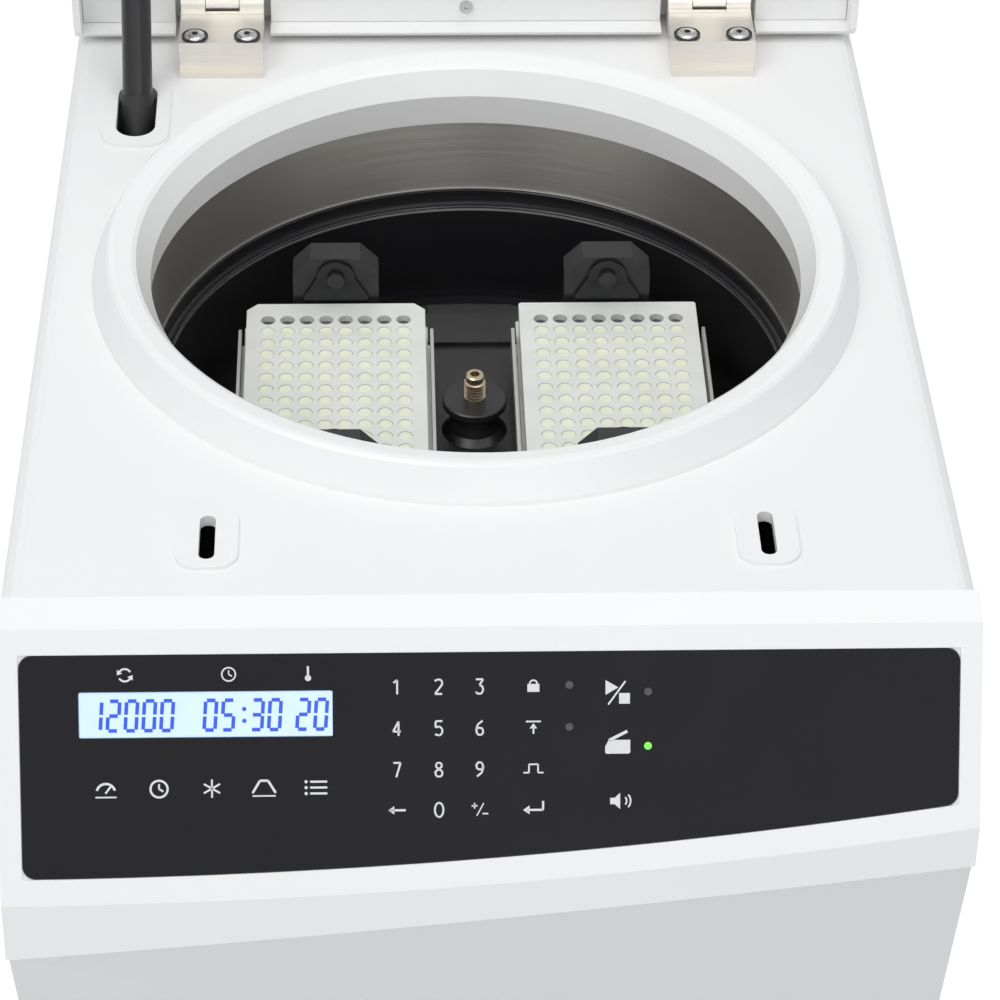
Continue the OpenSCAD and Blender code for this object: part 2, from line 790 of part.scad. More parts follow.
module carrier(side) {
    ear_w = 30;
    color([0.74, 0.74, 0.74])
    translate([side * carrier_x, chamber_y, 0])
    difference() {
        union() {
            translate([-tray_w / 2, -tray_wall_l / 2, plate_z - tray_t]) cube([tray_w, tray_wall_l, tray_t]);
            block([-ear_w / 2 - 6, -ear_y - tray_t, plate_z - tray_t], [ear_w / 2 + 6, ear_y + tray_t, plate_z]);
            for (edge = [-1, 1]) {
                translate([edge * (tray_w / 2 - tray_t / 2), 0, plate_z - tray_t + tray_wall_h / 2])
                    cube([tray_t, tray_wall_l, tray_wall_h], center = true);
                translate([0, edge * (ear_y + tray_t / 2), 0]) rotate([90, 0, 0])
                    linear_extrude(tray_t, center = true) {
                        polygon([[-ear_w / 2, plate_z - tray_t], [ear_w / 2, plate_z - tray_t],
                                 [ear_w / 2, pivot_z - 10], [9, pivot_z], [-9, pivot_z], [-ear_w / 2, pivot_z - 10]]);
                        translate([0, pivot_z]) circle(9);
                    }
            }
        }
        translate([0, 0, pivot_z]) rotate([90, 0, 0])
            cylinder(r = pivot_r + run_gap, h = 2 * post_y, center = true);
        translate([0, 0, plate_z - 5]) cylinder(r = 22, h = 10);
        for (end = [-1, 1]) {
            translate([0, end * 38, plate_z - 5]) cylinder(r = 9, h = 10);
        }
    }
}

module carrier_left() {
    carrier(-1);
}

module carrier_right() {
    carrier(1);
}

// One 96-well plate: a skirted base, a smaller rim above it, and the wells
module microplate(side, rear_cut) {
    step_z = 3;
    rim_in = 1.2;
    color([0.92, 0.92, 0.9])
    translate([side * carrier_x, chamber_y, plate_z])
    difference() {
        union() {
            linear_extrude(step_z) plate_outline(0, rear_cut);
            linear_extrude(plate_h) plate_outline(rim_in, rear_cut);
        }
        for (column = [-3.5 : 1 : 3.5]) {
            for (row = [-5.5 : 1 : 5.5]) {
                translate([column * well_pitch, row * well_pitch, plate_h - well_depth])
                    cylinder(r = well_r, h = plate_h, $fn = 24);
            }
        }
    }
}

module plate_outline(inset, rear_cut) {
    half_w = plate_w / 2 - inset;
    half_l = plate_l / 2 - inset;
    cut = rear_cut;
    polygon([[-half_w, -half_l], [half_w, -half_l], [half_w, half_l - cut], [half_w - cut, half_l],
             [cut - half_w, half_l], [-half_w, half_l - cut]]);
}

module microplate_left() {
    microplate(-1, 5);
}

module microplate_right() {
    microplate(1, 1);
}

// Outer form of the closed lid
module lid_form() {
    hull() {
        for (turn = [0 : 22.5 : 90]) {
            inset = lid_round * (1 - cos(turn));
            translate([0, 0, lid_z + lid_t - lid_round + lid_round * sin(turn) - 0.01])
                linear_extrude(0.01) lid_plan(inset);
        }
        translate([0, 0, lid_z]) linear_extrude(0.01) lid_plan(0);
    }
}

// Both hinge notches of the closed lid
module lid_notches(margin) {
    for (side = [-1, 1]) {
        block([side * hinge_x - notch_w / 2 - margin, hinge_y - 47 - margin, lid_z - 5],
              [side * hinge_x + notch_w / 2 + margin, lid_rear_y + 5, notch_z + margin]);
    }
}

// Opening of the inner panel round the gas spring's upper end, with the lid closed
module spring_cut() {
    low_y = hinge_y - (spring_top_z - hinge_z) - 14;
    block([spring_x - 12, low_y, lid_z - 1], [spring_x + 10, low_y + 64, lid_panel_z + lid_panel_t + 12]);
}

lid_ledge = 7;
rim_chamfer = 6.5;

module lid_shell() {
    color([0.95, 0.95, 0.94])
    lid_open()
    difference() {
        union() {
            difference() {
                lid_form();
                translate([0, 0, lid_z - 1]) linear_extrude(lid_recess + lid_panel_t + 1) lid_plan(wall);
                translate([0, 0, lid_z]) linear_extrude(lid_t - wall) lid_plan(wall + lid_ledge);
            }
            intersection() {
                lid_form();
                difference() {
                    lid_notches(wall);
                    block([-console_w, -body_depth, 0], [console_w, body_depth, lid_panel_z + lid_panel_t]);
                }
            }
            translate([0, port_y, lid_panel_z + lid_panel_t])
                cylinder(r = port_r + 6, h = lid_t - lid_recess - lid_panel_t - 1);
        }
        lid_notches(0);
        translate([0, port_y, lid_z]) cylinder(r = port_r, h = lid_t + 1);
        translate([0, lid_rear_y, lid_z]) rotate([45, 0, 0])
            cube([console_w + 20, rim_chamfer * sqrt(2), rim_chamfer * sqrt(2)], center = true);
    }
}

port_y = chamber_y;

module lid_inner_panel() {
    color([0.9, 0.9, 0.9])
    lid_open()
    difference() {
        translate([0, 0, lid_panel_z]) linear_extrude(lid_panel_t) lid_plan(wall + pass_gap);
        lid_notches(pass_gap);
        spring_cut();
        translate([0, port_y, lid_z]) cylinder(r = port_r, h = lid_t);
    }
}

module lid_port() {
    color([0.75, 0.82, 0.85])
    lid_open()
    translate([0, port_y, lid_panel_z]) cylinder(r = port_r - 0.02, h = 4);
}

screw_places = [[-165, 165], [0, 176], [165, 165], [-175, -240], [175, -240], [0, -248], [-181, -40], [181, -40]];

module lid_screws() {
    color([0.6, 0.6, 0.6])
    lid_open()
    for (p = screw_places) {
        translate([p[0], p[1], lid_panel_z])
            difference() {
                translate([0, 0, -1.6]) cylinder(r = 3.2, h = 1.6);
                translate([0, 0, -1.7]) cylinder(r = 1.2, h = 1.1, $fn = 6);
            }
    }
}

module lid_hooks() {
    low = deck_z - hook_drop;
    color([0.66, 0.66, 0.67])
    lid_open()
    for (side = [-1, 1]) {
        difference() {
            union() {
                block([side * slot_x - hook_t / 2, slot_y - hook_l / 2, low + 4],
                      [side * slot_x + hook_t / 2, slot_y + hook_l / 2, lid_panel_z]);
                block([side * slot_x - hook_t / 2, slot_y - hook_l / 2 + 4, low],
                      [side * slot_x + hook_t / 2, slot_y + hook_l / 2 - 4, low + 5]);
                block([side * slot_x - 12, slot_y - hook_l / 2, lid_panel_z - 2.5],
                      [side * slot_x + 12, slot_y + hook_l / 2, lid_panel_z]);
            }
            translate([side * slot_x, slot_y, lock_z]) rotate([0, 90, 0])
                cylinder(r = lock_pin_r + 1, h = 4 * hook_t, center = true);
        }
    }
}

lock_pin_r = 3;
lock_z = deck_z - hook_drop + 10;

module lid_knuckles() {
    color([0.8, 0.79, 0.76])
    lid_open()
    for (side = [-1, 1]) {
        translate([side * hinge_x, 0, 0])
        difference() {
            union() {
                translate([0, hinge_y, hinge_z]) rotate([0, 90, 0])
                    cylinder(r = knuckle_r, h = knuckle_w, center = true);
                block([-knuckle_w / 2, hinge_y - 38, notch_z - 5], [knuckle_w / 2, hinge_y, notch_z]);
                block([-knuckle_w / 2, hinge_y - 4, hinge_z], [knuckle_w / 2, hinge_y + 4, notch_z]);
            }
            translate([0, hinge_y, hinge_z]) rotate([0, 90, 0])
                cylinder(r = hinge_pin_r + run_gap, h = 2 * knuckle_w, center = true);
        }
    }
}

hinge_screw_x = 12.5;
hinge_screw_y = 140;

module hinge_blocks() {
    flange_h = 3;
    block_top = hinge_z - 0.6;
    color([0.8, 0.79, 0.76])
    for (side = [-1, 1]) {
        translate([side * hinge_x, 0, 0])
        difference() {
            union() {
                block([-hinge_w / 2, 130, deck_z], [hinge_w / 2, hinge_y - knuckle_r, deck_z + flange_h]);
                block([-hinge_w / 2, 134, deck_z], [hinge_w / 2, hinge_y - knuckle_r - 2, block_top]);
                block([-hinge_w / 2, hinge_y - knuckle_r - 4, deck_z], [hinge_w / 2, hinge_y + 4, hinge_z]);
                translate([0, hinge_y, hinge_z]) rotate([0, 90, 0])
                    cylinder(r = knuckle_r, h = hinge_w, center = true);
            }
            translate([0, hinge_y, hinge_z]) rotate([0, 90, 0])
                cylinder(r = hinge_pin_r + 0.02, h = 2 * hinge_w, center = true);
            translate([0, hinge_y, hinge_z]) rotate([0, 90, 0])
                cylinder(r = knuckle_r + 2, h = knuckle_w + 2 * pass_gap, center = true);
            block([-knuckle_w / 2 - pass_gap, hinge_y - 9, hinge_z - 12], [knuckle_w / 2 + pass_gap, 200, 400]);
            for (x = [-hinge_screw_x, hinge_screw_x]) {
                translate([x, hinge_screw_y, deck_z - 1]) cylinder(r = 2.52, h = 40);
                translate([x, hinge_screw_y, block_top - 3]) cylinder(r1 = 2.52, r2 = 5.52, h = 3.01);
            }
        }
    }
}

module hinge_pins() {
    color([0.7, 0.7, 0.7])
    for (side = [-1, 1]) {
        translate([side * hinge_x, hinge_y, hinge_z]) rotate([0, 90, 0])
            cylinder(r = hinge_pin_r, h = hinge_w, center = true);
    }
}

module hinge_screws() {
    top = hinge_z - 0.6;
    color([0.55, 0.55, 0.55])
    for (side = [-1, 1]) {
        for (x = [-hinge_screw_x, hinge_screw_x]) {
            translate([side * hinge_x + x, hinge_screw_y, 0])
            difference() {
                union() {
                    translate([0, 0, deck_z + 1]) cylinder(r = 2.5, h = top - deck_z - 2);
                    translate([0, 0, top - 3]) cylinder(r1 = 2.5, r2 = 5.5, h = 3);
                }
                translate([0, 0, top - 2]) cylinder(r = 1.6, h = 3, $fn = 6);
            }
        }
    }
}

lock_bar_z = deck_z - hook_drop - 12;

module lock_bracket() {
    low = lock_bar_z - 3 - pass_gap;
    color([0.6, 0.6, 0.6])
    difference() {
        union() {
            block([-155, slot_y - 11, low], [155, slot_y + 11, low + 3]);
            for (side = [-1, 1]) {
                block([side * 153.5 - 1.5, slot_y - 11, low], [side * 153.5 + 1.5, slot_y + 11, deck_under]);
                block([-155, slot_y + side * 9.8 - 1.2, low], [155, slot_y + side * 9.8 + 1.2, low + 8]);
            }
        }
        translate([0, slot_y, low]) cylinder(r = 4, h = 10);
    }
}

module lock_slide() {
    post_x = hook_t / 2 + lock_travel + 2;
    color([0.72, 0.72, 0.73])
    union() {
        block([-138, slot_y - 8.2, lock_bar_z], [130, slot_y + 8.2, lock_bar_z + 5]);
        for (side = [-1, 1]) {
            block([side * slot_x - post_x - 6, slot_y - 6, lock_bar_z], [side * slot_x - post_x, slot_y + 6, lock_z + 5]);
            translate([side * slot_x - post_x - 1, slot_y, lock_z]) rotate([0, 90, 0])
                cylinder(r = lock_pin_r, h = lock_travel);
        }
    }
}

module spring_bracket() {
    plate_x = spring_x - eye_r - 8;
    color([0.6, 0.6, 0.6])
    union() {
        block([plate_x - 3, spring_low_y - 12, chassis_z], [plate_x, spring_low_y + 12, spring_low_z + 9]);
        block([plate_x - 3, spring_low_y - 12, chassis_z], [plate_x + 18, spring_low_y + 12, chassis_z + 3]);
        translate([plate_x - 1, spring_low_y, spring_low_z]) rotate([0, 90, 0])
            cylinder(r = stud_r, h = spring_x - plate_x + 6);
        translate([plate_x - 1, spring_low_y, spring_low_z]) rotate([0, 90, 0])
            cylinder(r = stud_r + 2, h = 1 + spring_x - plate_x - 4 - pass_gap);
    }
}

cylinder_low = spring_open - eye_r - 5.5 - spring_len;

module spring_rod() {
    color([0.78, 0.78, 0.8])
    along_spring()
    difference() {
        union() {
            rotate([0, 90, 0]) cylinder(r = eye_r, h = 8, center = true);
            translate([0, 0, eye_r - 1]) cylinder(r = rod_r, h = cylinder_low + 40 - eye_r);
        }
        rotate([0, 90, 0]) cylinder(r = stud_r + run_gap, h = 20, center = true);
    }
}

module spring_cylinder() {
    color([0.08, 0.08, 0.09])
    along_spring()
    difference() {
        union() {
            translate([0, 0, cylinder_low]) cylinder(r = spring_r, h = spring_len);
            translate([0, 0, cylinder_low + spring_len - 1]) cylinder(r = 4, h = spring_open - cylinder_low - spring_len);
            translate([0, 0, spring_open]) rotate([0, 90, 0]) cylinder(r = eye_r, h = 8, center = true);
        }
        translate([0, 0, cylinder_low - 1]) cylinder(r = rod_r + run_gap, h = spring_len - 6);
        translate([0, 0, spring_open]) rotate([0, 90, 0]) cylinder(r = stud_r + run_gap, h = 20, center = true);
    }
}

module spring_collar() {
    low = cylinder_low + 8;
    color([0.05, 0.05, 0.05])
    along_spring()
    difference() {
        translate([0, 0, low]) cylinder(r = spring_r + 0.9, h = 60);
        translate([0, 0, low - 1]) cylinder(r = spring_r + 0.02, h = 62);
    }
}

// Ball stud on the lid, which ends just beside the gas spring's upper eye
module spring_stud() {
    eye_side = spring_x + 4 + pass_gap;
    y = hinge_y - (spring_top_z - hinge_z);
    z = hinge_z + spring_top_y - hinge_y;
    color([0.65, 0.65, 0.66])
    lid_open()
    union() {
        translate([eye_side, y, z]) rotate([0, 90, 0]) cylinder(r = stud_r, h = 5);
        block([eye_side + 4, y - 8, z - 5], [eye_side + 7, y + 8, lid_panel_z]);
        block([spring_x + 10.3, y - 8, lid_panel_z - 2], [spring_x + 24, y + 8, lid_panel_z]);
        block([eye_side + 4, y - 8, lid_panel_z - 2], [spring_x + 11, y + 8, lid_panel_z]);
    }
}

module compressor() {
    color([0.08, 0.08, 0.08])
    translate([compressor_x, compressor_y, chassis_z])
    union() {
        translate([0, 0, 12])
            rotate_extrude()
                polygon([[0, 0], [compressor_r - 12, 0], [compressor_r, 14], [compressor_r, compressor_h - 40],
                         [compressor_r - 8, compressor_h - 22], [compressor_r - 30, compressor_h - 12],
                         [0, compressor_h - 12]]);
        translate([-50, -30, 9]) cube([100, 60, 4]);
        for (side = [-1, 1]) {
            for (end = [-1, 1]) {
                translate([side * 40, end * 22, 0]) cylinder(r = 8, h = 10);
            }
        }
        translate([20, -35, compressor_h - 20]) cylinder(r = 4, h = 30);
        translate([-20, -35, compressor_h - 20]) cylinder(r = 4, h = 30);
    }
}

condenser_z = chassis_z;
fan_z = condenser_z + condenser_h / 2;
condenser_rear = rear_y - sheet - 4;
shroud_t = 26;
fan_pin_r = 3;

module condenser() {
    fin_t = 1.2;
    core_t = 10;
    color([0.55, 0.56, 0.57])
    translate([condenser_x, condenser_rear, condenser_z])
    union() {
        translate([-condenser_w / 2, -condenser_t, 0]) cube([condenser_w, condenser_t, 3]);
        translate([-condenser_w / 2, -condenser_t, condenser_h - 3]) cube([condenser_w, condenser_t, 3]);
        for (i = [0 : fin_count]) {
            translate([-condenser_w / 2 + i * (condenser_w - fin_t) / fin_count, -condenser_t, 0])
                cube([fin_t, condenser_t, condenser_h]);
        }
        for (z = [15 : 20 : condenser_h - 15]) {
            translate([0, -condenser_t / 2, z]) rotate([0, 90, 0])
                cylinder(r = core_t / 2, h = condenser_w, center = true, $fn = 32);
        }
    }
}

// Ring of the fan shroud, square outside and round inside
module shroud_ring() {
    difference() {
        square([condenser_w, condenser_h], center = true);
        circle(fan_r + 3);
    }
}

module fan_shroud() {
    front = condenser_rear - condenser_t - shroud_t;
    spoke_t = 4;
    color([0.2, 0.2, 0.21])
    translate([condenser_x, front, fan_z]) rotate([90, 0, 0]) mirror([0, 0, 1]) {
        linear_extrude(spoke_t)
            difference() {
                union() {
                    shroud_ring();
                    for (turn = [30, 90, 150]) {
                        rotate(turn) square([2 * fan_r + 8, 5], center = true);
                    }
                    circle(16);
                }
                circle(fan_pin_r + run_gap);
            }
        translate([0, 0, spoke_t]) linear_extrude(shroud_t - spoke_t) shroud_ring();
    }
}

module condenser_fan() {
    front = condenser_rear - condenser_t - shroud_t;
    color([0.12, 0.12, 0.13])
    translate([condenser_x, front, fan_z])
    union() {
        rotate([-90, 0, 0]) cylinder(r = fan_pin_r, h = 14);
        translate([0, 4 + pass_gap, 0]) rotate([-90, 0, 0]) cylinder(r = 17, h = 16);
        for (i = [0 : blade_count - 1]) {
            rotate([0, i * 360 / blade_count, 0])
                translate([(fan_r + 15) / 2, 12.5, 0]) rotate([28, 0, 0])
                    cube([fan_r - 15, 1.8, 26], center = true);
        }
    }
}

module power_board() {
    board_t = 2;
    low_z = chassis_z + 8;
    front = rear_y - board_back;
    color([0.1, 0.35, 0.2])
    union() {
        block([0, front, low_z], [board_w, front + board_t, low_z + board_h]);
        for (x = [10, board_w - 10]) {
            block([x - 5, front - 8, chassis_z], [x + 5, front, chassis_z + 20]);
        }
        block([20, front + board_t, low_z + 22], [60, front + board_t + 20, low_z + 62]);
        block([80, front + board_t, low_z + 22], [130, front + board_t + 26, low_z + 82]);
    }
}

module power_inlet() {
    color([0.07, 0.07, 0.07])
    difference() {
        union() {
            block([inlet_x - 14, rear_y - 28, inlet_z - 12], [inlet_x + 14, rear_y + 1, inlet_z + 12]);
            block([inlet_x - 24, rear_y, inlet_z - 15], [inlet_x + 24, rear_y + rear_trim, inlet_z + 15]);
        }
        block([inlet_x - 12, rear_y - 18, inlet_z - 8], [inlet_x + 12, rear_y + 10, inlet_z + 8]);
    }
}

rocker_w = 18;
rocker_pivot_y = rear_y - 3;
rocker_pin_r = 1.5;

module switch_frame() {
    color([0.07, 0.07, 0.07])
    difference() {
        union() {
            block([rocker_x - 11, rear_y - 16, inlet_z - 15], [rocker_x + 11, rear_y, inlet_z + 15]);
            block([rocker_x - 13, rear_y, inlet_z - 17], [rocker_x + 13, rear_y + 1, inlet_z + 17]);
        }
        difference() {
            block([rocker_x - rocker_w / 2 - pass_gap, rear_y - 13, inlet_z - 14],
                  [rocker_x + rocker_w / 2 + pass_gap, rear_y + 5, inlet_z + 14]);
            translate([rocker_x, rocker_pivot_y, inlet_z]) rotate([0, 90, 0])
                cylinder(r = rocker_pin_r, h = 2 * rocker_w, center = true);
        }
    }
}

module power_rocker() {
    color([0.07, 0.07, 0.07])
    translate([rocker_x, rocker_pivot_y, inlet_z])
    rotate([90, 0, 90]) linear_extrude(rocker_w, center = true)
        difference() {
            polygon([[-4, -6], [0, -13], [2.4, -12], [3.2, 0], [4.6, 12], [0, 13], [-4, 6]]);
            circle(rocker_pin_r + run_gap);
        }
}

feet();
housing();
chassis_plate();
rear_panel();
deck_cover();
front_console();
lower_front();
membrane_panel();
display_window();
status_lamps();
display_board();
chamber_gasket();
chamber_wall();
chamber_bowl();
insulation_jacket();
shaft_seal();
motor_plate();
motor_dampers();
motor_housing();
motor_shaft();
rotor_yoke();
rotor_cap();
rotor_lock_screw();
trunnion_pins();
carrier_left();
carrier_right();
microplate_left();
microplate_right();
lid_shell();
lid_inner_panel();
lid_port();
lid_screws();
lid_hooks();
lid_knuckles();
hinge_blocks();
hinge_pins();
hinge_screws();
lock_bracket();
lock_slide();
spring_bracket();
spring_rod();
spring_cylinder();
spring_collar();
spring_stud();
compressor();
condenser();
fan_shroud();
condenser_fan();
power_board();
power_inlet();
switch_frame();
power_rocker();
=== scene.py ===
"""Looks of the refrigerated microplate centrifuge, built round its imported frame. Metres, +Z up, front towards -Y."""
import json
import math

import bmesh
import bpy
import numpy as np
from mathutils import Matrix, Vector
from mathutils.geometry import tessellate_polygon


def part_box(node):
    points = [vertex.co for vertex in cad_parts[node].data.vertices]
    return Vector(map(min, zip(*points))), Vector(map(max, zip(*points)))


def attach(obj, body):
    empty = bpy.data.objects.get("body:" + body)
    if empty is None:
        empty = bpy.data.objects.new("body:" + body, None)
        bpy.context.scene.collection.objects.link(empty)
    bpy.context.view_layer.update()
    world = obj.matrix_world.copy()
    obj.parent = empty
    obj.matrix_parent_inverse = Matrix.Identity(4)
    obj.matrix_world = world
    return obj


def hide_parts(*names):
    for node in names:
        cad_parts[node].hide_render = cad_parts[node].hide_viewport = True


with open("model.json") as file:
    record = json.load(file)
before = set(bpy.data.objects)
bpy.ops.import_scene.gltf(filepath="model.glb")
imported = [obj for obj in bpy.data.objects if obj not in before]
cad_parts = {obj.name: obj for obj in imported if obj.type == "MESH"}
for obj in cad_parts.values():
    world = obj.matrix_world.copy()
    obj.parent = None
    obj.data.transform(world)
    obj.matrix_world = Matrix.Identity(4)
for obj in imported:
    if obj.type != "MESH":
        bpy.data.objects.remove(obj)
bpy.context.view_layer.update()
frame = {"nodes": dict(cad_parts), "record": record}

MM = 0.001


def middle_of(node):
    """The middle of a node's box, as X and Y."""
    low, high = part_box(node)
    return (low[0] + high[0]) / 2, (low[1] + high[1]) / 2


DECK_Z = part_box("hinge_blocks")[0][2]
CHAMBER = Vector((*middle_of("chamber_wall"), DECK_Z))

# Camera, as found from the wells, the chamber circles and the deck's edges
CAMERA_FROM_CHAMBER = Vector((-43.0, -1384.0, 950.0)) * MM
CAMERA_YAW = 0.040
CAMERA_PITCH = 0.662
CAMERA_ROLL = 0.017
FOCAL_PX = 3759.4
IMAGE_PX = 1000.0
SENSOR_MM = 36.0

# Soft boxes: name, place, what they face, width and height in metres, and power in watts
SOFT_BOXES = (
    ("key", (-1.3, -1.4, 2.6), (0, 0, 0.3), (1.8, 1.4), 25),
    ("top", (0.3, -0.2, 2.4), (0, -0.05, 0.2), (1.2, 1.2), 12.5),
    ("front", (0.6, -2.6, 1.2), (0, -0.3, 0.2), (1.6, 1.0), 8),
)
SKY_COLOR = (0.95, 0.97, 1.0, 1)
SKY_STRENGTH = 0.45

FLOOR_SIZE = 30
# Share of white that the floor adds where it is seen
FLOOR_LIFT = 0.42

# The sloping face: its length, its lean from the vertical, and the bevel line that it starts from below the deck.
# Places on it are given in mm, as across from the middle and down from that line.
FACE_LENGTH = 112 * MM
FACE_LEAN = math.radians(29.5)
BEVEL_DROP = 5 * MM
BEVEL = Vector((0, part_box("front_console")[0][1] + FACE_LENGTH * math.sin(FACE_LEAN), DECK_Z - BEVEL_DROP))
PRINT_T = 0.12 * MM

# The film, in mm: its upper edge, its lower edge at the left, its depth and its corners, and a place down its sides.
# The lower edge starts level, a little in from the console's left side, and has the front's radius as it lies on the
# slope.
FILM_TOP = 10.5
FILM_LOW = 101.0
FILM_DEEP = 0.8
FILM_CORNER = 5.0
FILM_SIDE = 50.0
FILM_INSET = 1.0
FRONT_R = 5520.0
FILM_ARC = FRONT_R * math.sin(FACE_LEAN)
FILM_SPECULAR = 0.22
WINDOW_MIDDLE = (-113.2, 34.6)
WINDOW_SIZE = (100.9, 18.7)
WINDOW_CORNER = 1.1

# Status lamps: one by the padlock, one by the level mark, one by the start key and one by the lid key, which is lit
LAMP_PLACES = ((31.1, 24.0), (31.1, 41.0), (62.5, 27.0), (62.5, 49.0))
LIT_LAMP = LAMP_PLACES[3]
LAMP_HOLE_R = 1.65
LAMP_R = 1.55

# Numbers on the display, with the place where each starts
READINGS = (("12000", -159.0), ("05:30", -113.6), ("20", -76.8))
READING_DOWN = 34.9
READING_H = 12.0
READING_STROKE = 1.45
READING_LEAN = 0.07

# Columns and rows of the keypad
KEYPAD_X = (-37.6, -20.9, -4.6)
KEYPAD_DOWN = (24.2, 41.0, 57.8, 74.2)
KEY_DIGIT_SIZE = 1.45
KEY_STROKE = 0.75
ZERO_W, ZERO_H = 1.7, 2.9

# Depth of the printed digits and of the lit lamp under the film's face
DISPLAY_OUT = -0.3
LAMP_OUT = -0.28

# The steel wall's sheet, the step in to the bowl's rim, and the bead that ends the wall
WALL_SHEET = 1.2
BOWL_STEP = 5.0
BEAD_R = 0.75
BEAD_UP = 8.6

# The rotor's lock screw: shank, head, grooves and hexagon socket
SHANK_R = 4.7
HEAD_R = 4.9
HEAD_H = 13.4
ROOT_R = 3.95
CREST_R = 4.85
GROOVES = 5
GROOVE_PITCH = 1.55
SOCKET_R = 2.3
SOCKET_DEEP = 4.8

# The hinge screws: from the outer head's edge to its middle, and between the two screws of a hinge
HINGE_HEAD_R = 5.5
HINGE_SCREW_PITCH = 25.0

# The plates' wells
WELL_PITCH = 9.0
WELL_R = 3.4
WELL_DEEP = 10.6
PLATE_COLUMNS = 8
PLATE_ROWS = 12

# From a carrier's middle to where its dark ears start
TRAY_REACH = 63.9 * MM

# Width in mm of the softened edges of the shown rigid pieces
EDGE_WIDTHS = {
    "front_console": 1.2, "lower_front": 1.0, "housing": 0.8, "lid_inner_panel": 0.6, "chamber_gasket": 0.9,
    "hinge_blocks": 0.5, "lid_knuckles": 0.5, "rotor_yoke": 0.5, "rotor_cap": 0.3, "carrier_left": 0.3,
    "carrier_right": 0.3, "spring_cylinder": 0.4, "feet": 0.5, "lock_slide": 0.4,
}
# The least angle in degrees between faces that an edge is softened at
EDGE_ANGLE = 35


def face_points(places_mm, out_mm=0.0):
    """Places about the sloping face as points: across goes along X, down along the slope, and out along its normal."""
    places = np.asarray(places_mm, float)
    down = np.array((0, -math.sin(FACE_LEAN), -math.cos(FACE_LEAN)))
    out = np.array((0, -math.cos(FACE_LEAN), math.sin(FACE_LEAN)))
    return np.array(BEVEL) + (places[:, :1] * (1, 0, 0) + places[:, 1:] * down + out_mm * out) * MM


class Shader:
    """A short way to build one node material."""

    def __init__(self, name):
        self.material = bpy.data.materials.new(name)
        self.material.use_nodes = True
        self.nodes = self.material.node_tree.nodes
        self.links = self.material.node_tree.links
        self.principled = self.nodes["Principled BSDF"]
        self.coords = self.nodes.new("ShaderNodeTexCoord").outputs["Object"]

    def add(self, kind, **values):
        """A node with some of its settings or number sockets set."""
        node = self.nodes.new(kind)
        for key, value in values.items():
            if hasattr(node, key):
                setattr(node, key, value)
            else:
                node.inputs[key.replace("_", " ")].default_value = value
        return node

    def link(self, source, target):
        """Joins an output to an input."""
        self.links.new(source, target)

    def stretched(self, scale):
        """Object coordinates, scaled along each axis."""
        mapping = self.add("ShaderNodeMapping")
        mapping.inputs["Scale"].default_value = scale
        self.link(self.coords, mapping.inputs["Vector"])
        return mapping.outputs["Vector"]

    def noise(self, scale, detail=3.0, vector=None):
        """Noise through the piece, with so many periods to the metre."""
        node = self.add("ShaderNodeTexNoise", Scale=scale, Detail=detail)
        self.link(vector or self.coords, node.inputs["Vector"])
        return node.outputs["Fac"]

    def ramp(self, factor, low, high, start=0.3, end=0.7):
        """A colour between two, as a factor goes from start to end."""
        node = self.add("ShaderNodeValToRGB")
        node.color_ramp.elements[0].position = start
        node.color_ramp.elements[1].position = end
        node.color_ramp.elements[0].color = (*low, 1)
        node.color_ramp.elements[1].color = (*high, 1)
        self.link(factor, node.inputs["Fac"])
        return node.outputs["Color"]

    def tone(self, factor, low, high):
        """Base colour that drifts between two."""
        self.link(self.ramp(factor, low, high), self.principled.inputs["Base Color"])

    def gloss(self, factor, low, high):
        """Roughness that drifts between two values."""
        node = self.add("ShaderNodeMapRange")
        node.inputs["To Min"].default_value = low
        node.inputs["To Max"].default_value = high
        self.link(factor, node.inputs["Value"])
        self.link(node.outputs["Result"], self.principled.inputs["Roughness"])

    def beyond(self, axis, middle, reach):
        """1 where the distance from a middle along one axis is over the reach, and 0 elsewhere."""
        split = self.add("ShaderNodeSeparateXYZ")
        self.link(self.coords, split.inputs["Vector"])
        away = self.add("ShaderNodeMath", operation="SUBTRACT")
        away.inputs[1].default_value = middle
        self.link(split.outputs[axis], away.inputs[0])
        size = self.add("ShaderNodeMath", operation="ABSOLUTE")
        self.link(away.outputs[0], size.inputs[0])
        over = self.add("ShaderNodeMath", operation="GREATER_THAN")
        over.inputs[1].default_value = reach
        self.link(size.outputs[0], over.inputs[0])
        return over.outputs[0]

    def bump(self, height, strength, depth_mm):
        """Fine relief, as deep as the real texture."""
        node = self.add("ShaderNodeBump", Strength=strength, Distance=depth_mm * MM)
        self.link(height, node.inputs["Height"])
        self.link(node.outputs["Normal"], self.principled.inputs["Normal"])

    def set(self, **values):
        """Uniform values, on the shader itself."""
        for key, value in values.items():
            self.principled.inputs[key.replace("_", " ")].default_value = value


def darker(color, share):
    """A share of a colour."""
    return tuple(c * share for c in color)


def moulded(name, color, rough=0.42, grain=900.0, depth=0.02, spread=0.02):
    """Moulded plastic or powder coat: a fine grain, a slow drift of tone and slightly uneven gloss."""
    s = Shader(name)
    s.tone(s.noise(7.0, 4.0), tuple(max(0, c - spread) for c in color), color)
    s.gloss(s.noise(40.0), rough - 0.05, rough + 0.06)
    s.bump(s.noise(grain, 2.0), 0.25, depth)
    return s.material


def brushed(name, color, rough, stretch, depth=0.03, metal=1.0, contrast=0.12):
    """Brushed metal: streaks stretched along the brushing, in tone, gloss and relief."""
    s = Shader(name)
    streaks = s.noise(1.0, 5.0, s.stretched(stretch))
    s.tone(streaks, darker(color, 1 - contrast), color)
    s.gloss(streaks, rough - 0.07, rough + 0.1)
    s.set(Metallic=metal)
    s.bump(streaks, 0.3, depth)
    return s.material


